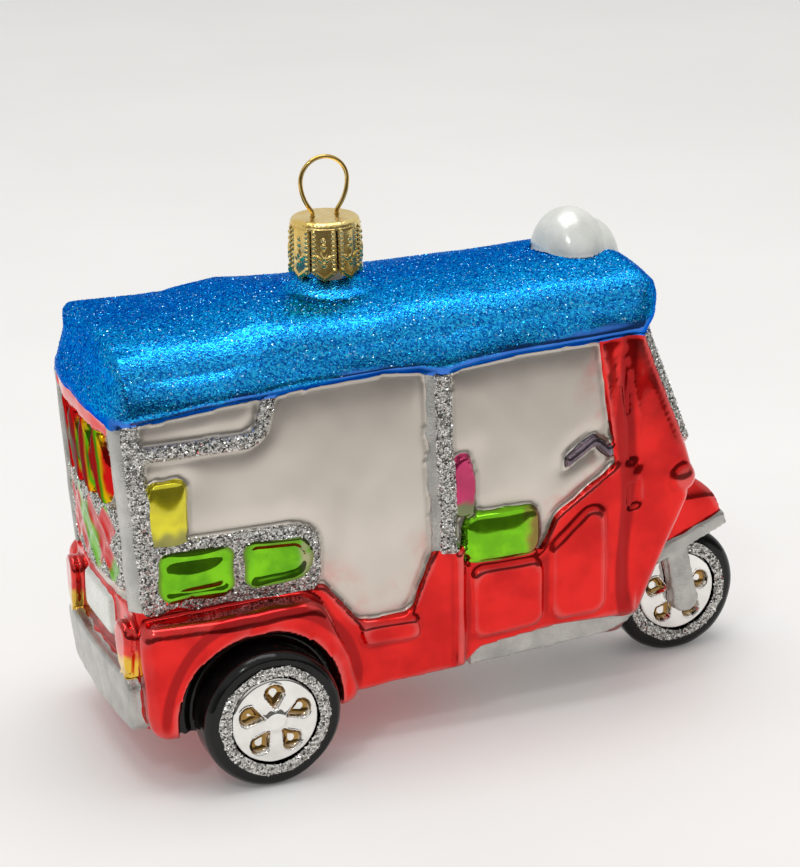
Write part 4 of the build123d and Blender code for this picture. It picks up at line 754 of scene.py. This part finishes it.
PANE = gloss("pane_green", (0.12, 0.42, 0.005), (0.24, 0.68, 0.008), 5.0, 0.97, (0.05, 0.10), 0.3,
             second=(0.70, 0.50, 0.42), edge_shade=(0.14, 0.20, 0.03))
YELLOW = gloss("yellow", (0.66, 0.58, 0.008), (0.88, 0.80, 0.016), 5.0, 0.9, (0.12, 0.24),
               second=(0.36, 0.34, 0.06))
MAGENTA = gloss("magenta", (0.50, 0.010, 0.10), (0.72, 0.022, 0.17), 5.0, 0.85, (0.10, 0.22),
                second=(0.22, 0.26, 0.10))
PURPLE = gloss("dark_purple", (0.05, 0.03, 0.05), (0.22, 0.16, 0.20), 3.0, 0.9, (0.12, 0.24),
               edge_shade=(0.006, 0.004, 0.008))
LAMP = gloss("lamp_red", (0.60, 0.010, 0.008), (0.86, 0.030, 0.016), 4.0, 0.97, (0.06, 0.14),
             second=(0.92, 0.55, 0.03))
LOZENGE = gloss("lozenges", (0.08, 0.32, 0.01), (0.18, 0.52, 0.01), 4.0, 0.95, (0.06, 0.14), 0.0,
                second=(0.66, 0.01, 0.01))
PETALS = petal_colours()
WHITE = gloss("soft_white", (0.74, 0.76, 0.70), (0.90, 0.91, 0.86), 6.0, 0.12, (0.2, 0.32), 0.5)
# The second colour is the amber-brown of the hub pockets: gold-brown tint with a painted dark reflection
MIRROR = gloss("silvered", (0.80, 0.79, 0.76), (0.94, 0.93, 0.90), 5.0, 1.0, (0.04, 0.12), 0.4, 0.3,
               second=(0.44, 0.25, 0.06))
GOLD = gloss("gold_metal", (0.92, 0.64, 0.18), (1.0, 0.80, 0.34), 4.0, 1.0, (0.18, 0.30), 0.0, 0.2,
             grain=0.45)
FOIL = gloss("gold_foil", (0.80, 0.54, 0.14), (0.97, 0.74, 0.30), 4.0, 1.0, (0.14, 0.24), 0.0, 0.1)
WIRE = gloss("gold_wire", (0.66, 0.42, 0.10), (0.86, 0.62, 0.22), 4.0, 1.0, (0.10, 0.18), 0.0, 0.1)

GLITTERED_STRIPS = ["centre_pillars", "rear_pillars", "upper_rails", "lower_rails", "windscreen_frame",
                    "rear_lattice", "rear_rims", "front_rims"]

# Each node's paint and material slot
FINISH = {}
for paint, slot, names in (
        (BLUE, "blue_glitter", "roof"),
        (PEARL, "pearl_white", "cabin windscreen"),
        (WHITE, "pearl_white", "number_plate roof_lamp"),
        (RED, "red_lacquer", " ".join(RED_NODES) + " headlamps rear_trim"),
        (PETALS, "red_lacquer", "rear_window"),
        (BLACK, "black_gloss", "wheel_arches rear_tyres front_tyre"),
        (STRIP, "silver_glitter", " ".join(GLITTERED_STRIPS)),
        (GREY, "matte_silver", "mudguard_lip fork_legs belly rear_bumper pillar_flanks"),
        (PANE, "lime_green", "rail_panes"),
        (LOZENGE, "lime_green", "lattice_panes"),
        (GREEN, "lime_green", "driver_seats"),
        (YELLOW, "yellow", "passenger_seats"),
        (MAGENTA, "magenta", "driver_backs"),
        (PURPLE, "dark_purple", "handlebars"),
        (LAMP, "lamp_red", "tail_lamps")):
    for name in names.split():
        FINISH[name] = (paint, slot)


def share(points, name, axis, start, stop):
    """0 to 1 along one axis of a node's box, between two shares of its length."""
    low, high = box_of(name)
    along = (points[:, axis] - low[axis]) / (high[axis] - low[axis])
    return smooth_step(start, stop, along + 0.06 * ripple(points, 3.0, 61))


def roof_rim(points):
    lift = points[:, 2] - roof_edge(points[:, 0]) - edge_wave(points[:, 0])
    tall = np.interp(points[:, 0], (-65, -20, 20, 42), (1.3, 1.7, 2.6, 3.2))
    return smooth_step(0.5, -0.5, lift - tall + 0.5 * ripple(points, 6.0, 62))


# Where a second colour begins: the axis, the two shares of the node's length, and how strong it gets
TONE_SHARES = {
    "driver_seats": (0, 0.72, 0.9, 1.0), "passenger_seats": (2, 0.3, 0.1, 1.0),
    "driver_backs": (2, 0.3, 0.16, 1.0), "tail_lamps": (2, 0.5, 0.34, 1.0),
    "rail_panes": (0, 0.9, 1.0, 0.7),
}


def tone_of(name, points):
    if name in TONE_SHARES:
        axis, start, stop, strength = TONE_SHARES[name]
        return share(points, name, axis, start, stop) * strength
    if name == "roof":
        return roof_rim(points)
    if name == "lattice_panes":
        return smooth_step(-0.12, 0.12, ripple(points, 13.0, 63))
    if name == "rear_window":
        return 0.5 + 0.5 * np.sin(points[:, 1] * 0.55)
    return np.zeros(len(points))


surfaces = {}
for column, name in enumerate(CUT_NODES):
    mine = cut_tris[cut_owner == column]
    surfaces[name] = mine
    if name in HUBS:
        continue
    material, slot = FINISH[name]
    values = {"ridge": cut_extra[:, 0], "margin": cut_extra[:, 1], "blush_and_dark_reflection": cut_extra[:, 2],
              "tone": tone_of(name, cut_points)}
    piece("skin_" + name, cut_points, mine, cut_normals, material, replaced=(name,), values=values)

for name, material in (("neck", MIRROR), ("cap", GOLD), ("hanger", WIRE)):
    nodes[name].data.materials.clear()
    nodes[name].data.materials.append(material)
for name in ("cap", "hanger"):
    for poly in nodes[name].data.polygons:
        poly.use_smooth = name == "hanger"


# Wheel hubs: silvered dishes with five teardrop hollows

def capsule(px, py, start, stop, start_radius, stop_radius):
    """Distance to a tapering round bar on the first axis."""
    t = np.clip((px - start) / (stop - start), 0.0, 1.0)
    thick = start_radius + t * (stop_radius - start_radius)
    return np.hypot(px - (start + t * (stop - start)), py) - thick


# Hub pockets, in shares of the hub's radius, and their depth in millimetres
POCKETS = 5
POCKET_START, POCKET_STOP = 0.32, 0.60
POCKET_TIP, POCKET_ROUND = 0.06, 0.24
POCKET_DEPTH = 1.25
DISH_BACK = 1.1


def hub_dishes(name, crown):
    low, high = box_of(name)
    middle = (low + high) / 2
    radius = (high[0] - low[0]) / 2
    rings, steps = 46, 160
    r = np.linspace(0.0, radius + 0.35, rings + 1)[1:, None] + np.zeros((1, steps))
    turn = np.arange(steps)[None, :] * 2 * math.pi / steps + np.zeros((rings, 1))
    pitch = 2 * math.pi / POCKETS
    local = (turn - math.pi / 2 + pitch / 2) % pitch - pitch / 2
    gap = capsule(r * np.cos(local), r * np.sin(local), POCKET_START * radius, POCKET_STOP * radius,
                  POCKET_TIP * radius, POCKET_ROUND * radius)
    bowl = np.clip(-gap / (POCKET_ROUND * radius), 0.0, 1.0)
    pocket_tint_and_reflection = smooth_step(0.02, 0.3, bowl)
    rise = 0.12 * (1 - (r / radius) ** 2) - POCKET_DEPTH * np.sqrt(bowl * (2 - bowl))
    rise += 0.12 * np.exp(-(gap / 0.3) ** 2)
    rise += (crown - 0.05) * smooth_step(0.30 * radius, 0.16 * radius, r)
    rise -= 0.55 * smooth_step(radius - 0.7, radius + 0.2, r)
    parts, tones = [], []
    for side in (-1, 1):
        face = side * (max(abs(low[1]), high[1]) - crown)
        flat = np.stack((middle[0] + r * np.cos(turn), r * 0 + face, middle[2] + r * np.sin(turn)), 2)
        flat = flat.reshape(-1, 3)
        lump = 0.05 * ripple(flat, 4.0, 71)
        front = flat + np.array((0, side, 0)) * (rise.reshape(-1) + lump)[:, None]
        centre = np.array([[middle[0], face + side * rise[0].mean(), middle[2]]])
        skirt = flat[-steps:] - np.array((0, side * DISH_BACK, 0))
        back = np.array([[middle[0], face - side * DISH_BACK, middle[2]]])
        points = np.concatenate((front, centre, skirt, back))
        i = np.arange(steps)
        j = (i + 1) % steps
        n = rings * steps
        tris = [np.stack((i * 0 + n, j, i), 1)]
        for ring in range(rings - 1):
            a, b = ring * steps, (ring + 1) * steps
            tris += [np.stack((a + i, a + j, b + j), 1), np.stack((a + i, b + j, b + i), 1)]
        a, b = (rings - 1) * steps, n + 1
        tris += [np.stack((a + i, a + j, b + j), 1), np.stack((a + i, b + j, b + i), 1)]
        tris.append(np.stack((b + i, b + j, i * 0 + b + steps), 1))
        tris = np.concatenate(tris)
        if side > 0:
            tris = tris[:, ::-1]
        parts.append((points, tris))
        # The tone turns each pocket amber-brown: a gold-brown tint with a painted dark reflection
        tones.append(np.concatenate((pocket_tint_and_reflection.reshape(-1), np.zeros(2 + steps))))
    points, tris = joined(parts)
    points = np.clip(points, CAD_LOW, CAD_HIGH)
    values = {"tone": np.concatenate(tones), "margin": np.full(len(points), REACH)}
    piece("dish_" + name, points, tris.astype(np.int32), normals_of(points, tris), MIRROR,
          replaced=(name,), values=values)


hub_dishes("rear_hubs", 0.4)
hub_dishes("front_hubs", 0.0)


# Embossed foil petals on the skirt of the cap

CAP_PETALS = 8


def cap_petals():
    low, high = box_of("cap")
    axis = (low + high) / 2
    height = high[2] - low[2]
    top_radius, flare, point = 6.2, 0.3, 1.6
    columns, rows = 34, 56
    u = np.linspace(-1, 1, columns + 1)[None, :] + np.zeros((rows + 1, 1))
    v = np.linspace(0, 1, rows + 1)[:, None] + np.zeros((1, columns + 1))
    half = math.radians(22.5) - 0.30 / top_radius
    bottom = low[2] + 0.05 + point * np.abs(u)
    top = high[2] - 1.0
    z = top + (bottom - top) * v
    across = u * half * top_radius
    inward = (1 - np.abs(u)) * half * top_radius
    down = (z - bottom) * 0.83
    bead_step = 0.84
    along = (z - low[2]) % bead_step - bead_step / 2
    h = 0.08 + 0.26 * np.sqrt(np.clip(1 - ((inward - 0.40) / 0.34) ** 2 - (along / 0.36) ** 2, 0, None))
    h += 0.16 * np.exp(-((down - 0.45) / 0.24) ** 2)
    heart = low[2] + 3.4
    leaves = ((0.0, 1.5, 0.5, 1.0), (0.8, 1.15, 0.38, 0.8), (-0.8, 1.15, 0.38, 0.8))
    for turn, reach, wide, tall in leaves:
        px = across - reach * math.sin(turn)
        pz = z - heart - reach * math.cos(turn)
        a = px * math.cos(turn) - pz * math.sin(turn)
        b = px * math.sin(turn) + pz * math.cos(turn)
        h += 0.30 * np.sqrt(np.clip(1 - (a / wide) ** 2 - (b / tall) ** 2, 0, None))
    for lift, size in ((-0.2, 0.45), (3.1, 0.42), (4.2, 0.36)):
        h += 0.28 * np.sqrt(np.clip(1 - (across / size) ** 2 - ((z - heart - lift) / size) ** 2, 0, None))
    fade = smooth_step(0.0, 0.05, v) * smooth_step(0.0, 0.12, inward)
    h = 0.03 + h * fade
    parts = []
    n = (rows + 1) * (columns + 1)
    grid = np.arange(n).reshape(rows + 1, columns + 1)
    a, b = grid[:-1, :-1].ravel(), grid[:-1, 1:].ravel()
    c, d = grid[1:, 1:].ravel(), grid[1:, :-1].ravel()
    front_tris = np.concatenate((np.stack((a, d, c), 1), np.stack((a, c, b), 1)))
    rim = np.concatenate((grid[0, :-1], grid[:-1, -1], grid[-1, :0:-1], grid[:0:-1, 0]))
    i, j = rim, np.roll(rim, -1)
    walls = np.concatenate((np.stack((i, j, j + n), 1), np.stack((i, j + n, i + n), 1)))
    for k in range(CAP_PETALS):
        angle = math.radians(22.5 + 45 * k) + u * half
        radius = top_radius + flare * (high[2] - z) / height
        dent = 0.10 * math.sin(2.4 * k + 0.5) * v ** 2
        sheets = []
        for lift in (h + dent, -0.15):
            spread = radius + lift
            east = axis[0] + spread * np.cos(angle)
            north = axis[1] + spread * np.sin(angle)
            sheets.append(np.stack((east, north, z), 2))
        points = np.concatenate([sheet.reshape(-1, 3) for sheet in sheets])
        parts.append((points, np.concatenate((front_tris, front_tris[:, ::-1] + n, walls))))
    points, tris = joined(parts)
    values = {"tone": np.zeros(len(points)), "margin": np.full(len(points), REACH)}
    piece("cap_petals", points, tris.astype(np.int32), normals_of(points, tris), FOIL,
          body="cap", values=values)


cap_petals()


# Real glitter flakes, each a small closed splinter half sunk in the paint

FLAKE_LIFT = 0.03
FLAKE_ROOT = 0.8


def flakes(name, surface_names, per_mm2, low, high, tilt, material, keep=None):
    tris = np.concatenate([surfaces[n] for n in surface_names])
    a, b, c = (cut_points[tris[:, i]] for i in range(3))
    area = np.linalg.norm(np.cross(b - a, c - a), axis=1) / 2
    count = int(area.sum() * per_mm2)
    pick = np.searchsorted(np.cumsum(area) / area.sum(), rng.random(count))
    u, v = rng.random(count), rng.random(count)
    over = u + v > 1
    u[over], v[over] = 1 - u[over], 1 - v[over]
    weight = np.stack((1 - u - v, u, v), 1)[:, :, None]
    spot = (cut_points[tris[pick]] * weight).sum(1)
    normal = (cut_normals[tris[pick]] * weight).sum(1)
    if keep is not None:
        stay = rng.random(count) < keep(spot, normal)
        spot, normal = spot[stay], normal[stay]
        count = len(spot)
    normal = normal + rng.normal(scale=tilt, size=(count, 3))
    normal /= np.linalg.norm(normal, axis=1, keepdims=True)
    side = np.cross(normal, rng.normal(size=(count, 3)))
    side /= np.linalg.norm(side, axis=1, keepdims=True)
    other = np.cross(normal, side)
    size = rng.uniform(low, high, count)[:, None]
    turn = np.array([0.0, 2.1, 4.2])[None, :] + rng.uniform(-0.35, 0.35, (count, 3))
    corners = []
    for angle in (turn[:, :1], turn[:, 1:2], turn[:, 2:]):
        corners.append(spot + size * (np.cos(angle) * side + np.sin(angle) * other) + normal * FLAKE_LIFT)
    root = spot - normal * size * FLAKE_ROOT
    points = np.clip(np.stack(corners + [root], 1).reshape(-1, 3), CAD_LOW, CAD_HIGH)
    base = np.arange(count)[:, None] * 4
    tris = np.concatenate([base + np.array(t) for t in ((0, 1, 2), (1, 0, 3), (2, 1, 3), (0, 2, 3))])
    obj = piece(name, points, tris.astype(np.int32), None, material)
    obj.data.polygons.foreach_set("use_smooth", np.zeros(len(obj.data.polygons), bool))


def roof_flakes_stay(spot, normal):
    return (1 - roof_rim(spot)) * np.clip(0.3 + 0.8 * smooth_step(0.0, 0.6, normal[:, 2]), 0, 1)


BLUE_FLAKE = flake_paint("blue_flakes", (0.0, (0.01, 0.20, 0.62)), (0.7, (0.02, 0.46, 0.95)),
                         (1.0, (0.60, 0.90, 1.0)))
SILVER_FLAKE = flake_paint("silver_flakes", (0.0, (0.42, 0.42, 0.40)), (0.5, (0.84, 0.83, 0.80)),
                           (1.0, (0.97, 0.96, 0.94)))
flakes("flakes_roof", ["roof"], 4.2, 0.10, 0.20, 0.36, BLUE_FLAKE, roof_flakes_stay)
flakes("flakes_strips", GLITTERED_STRIPS, 6.0, 0.16, 0.38, 0.55, SILVER_FLAKE)


# Stage: a pale floor, a soft box overhead, a small key light and a room that is dark behind the camera

FLOOR_FRONT = 0.20


def make_stage():
    paint = Paint("floor", Roughness=0.6, Emission_Color=(1.0, 0.985, 0.97), Emission_Strength=0.10)
    paint.set("Base Color", paint.ramp(
        paint.noise(120.0), (0.3, (0.86, 0.85, 0.835)), (0.7, (0.89, 0.88, 0.865))))
    points, tris = [], []
    rows, reach = 24, 1.6
    for i in range(rows + 1):
        for x in (-reach, reach):
            points.append((x, -FLOOR_FRONT + (reach + FLOOR_FRONT) * i / rows, 0.0))
    for i in range(rows):
        a = 2 * i
        tris += [(a, a + 1, a + 3), (a, a + 3, a + 2)]
    obj = bpy.data.objects.new("floor", raw_mesh("floor", np.array(points), np.array(tris)))
    obj.data.materials.append(paint.material)
    bpy.context.scene.collection.objects.link(obj)


def area_light(name, place, aim, size, power):
    data = bpy.data.lights.new(name, "AREA")
    data.shape = "RECTANGLE"
    data.size, data.size_y = size
    data.energy = power
    obj = bpy.data.objects.new(name, data)
    obj.location = place
    obj.rotation_euler = (Vector(aim) - Vector(place)).to_track_quat("-Z", "Y").to_euler()
    bpy.context.scene.collection.objects.link(obj)


def make_world():
    world = bpy.data.worlds.new("room")
    bpy.context.scene.world = world
    world.use_nodes = True
    tree = world.node_tree
    way = tree.nodes.new("ShaderNodeSeparateXYZ")
    tree.links.new(tree.nodes.new("ShaderNodeTexCoord").outputs["Generated"], way.inputs[0])

    def between(output, start, stop):
        made = tree.nodes.new("ShaderNodeMapRange")
        made.interpolation_type = "SMOOTHSTEP"
        made.inputs["From Min"].default_value = start
        made.inputs["From Max"].default_value = stop
        tree.links.new(output, made.inputs["Value"])
        return made.outputs[0]

    product = tree.nodes.new("ShaderNodeMath")
    product.operation = "MULTIPLY"
    tree.links.new(between(way.outputs["Y"], 0.30, -0.35), product.inputs[0])
    tree.links.new(between(way.outputs["Z"], 0.56, 0.30), product.inputs[1])
    blend = tree.nodes.new("ShaderNodeMix")
    blend.data_type = "RGBA"
    tree.links.new(product.outputs[0], blend.inputs[0])
    blend.inputs[6].default_value = (0.66, 0.66, 0.65, 1.0)
    blend.inputs[7].default_value = (0.12, 0.118, 0.114, 1.0)
    seen = tree.nodes.new("ShaderNodeMix")
    seen.data_type = "RGBA"
    tree.links.new(tree.nodes.new("ShaderNodeLightPath").outputs["Is Camera Ray"], seen.inputs[0])
    tree.links.new(blend.outputs[2], seen.inputs[6])
    seen.inputs[7].default_value = (0.86, 0.855, 0.84, 1.0)
    tree.links.new(seen.outputs[2], tree.nodes["Background"].inputs["Color"])


make_stage()
area_light("soft_box", (0.0, 0.05, 0.8), (0, 0, 0.05), (0.6, 0.4), 2.3)
area_light("key", (-0.5, -0.5, 0.9), (0, 0, 0.05), (0.10, 0.10), 0.8)
make_world()

bpy.context.scene.view_settings.view_transform = "Standard"
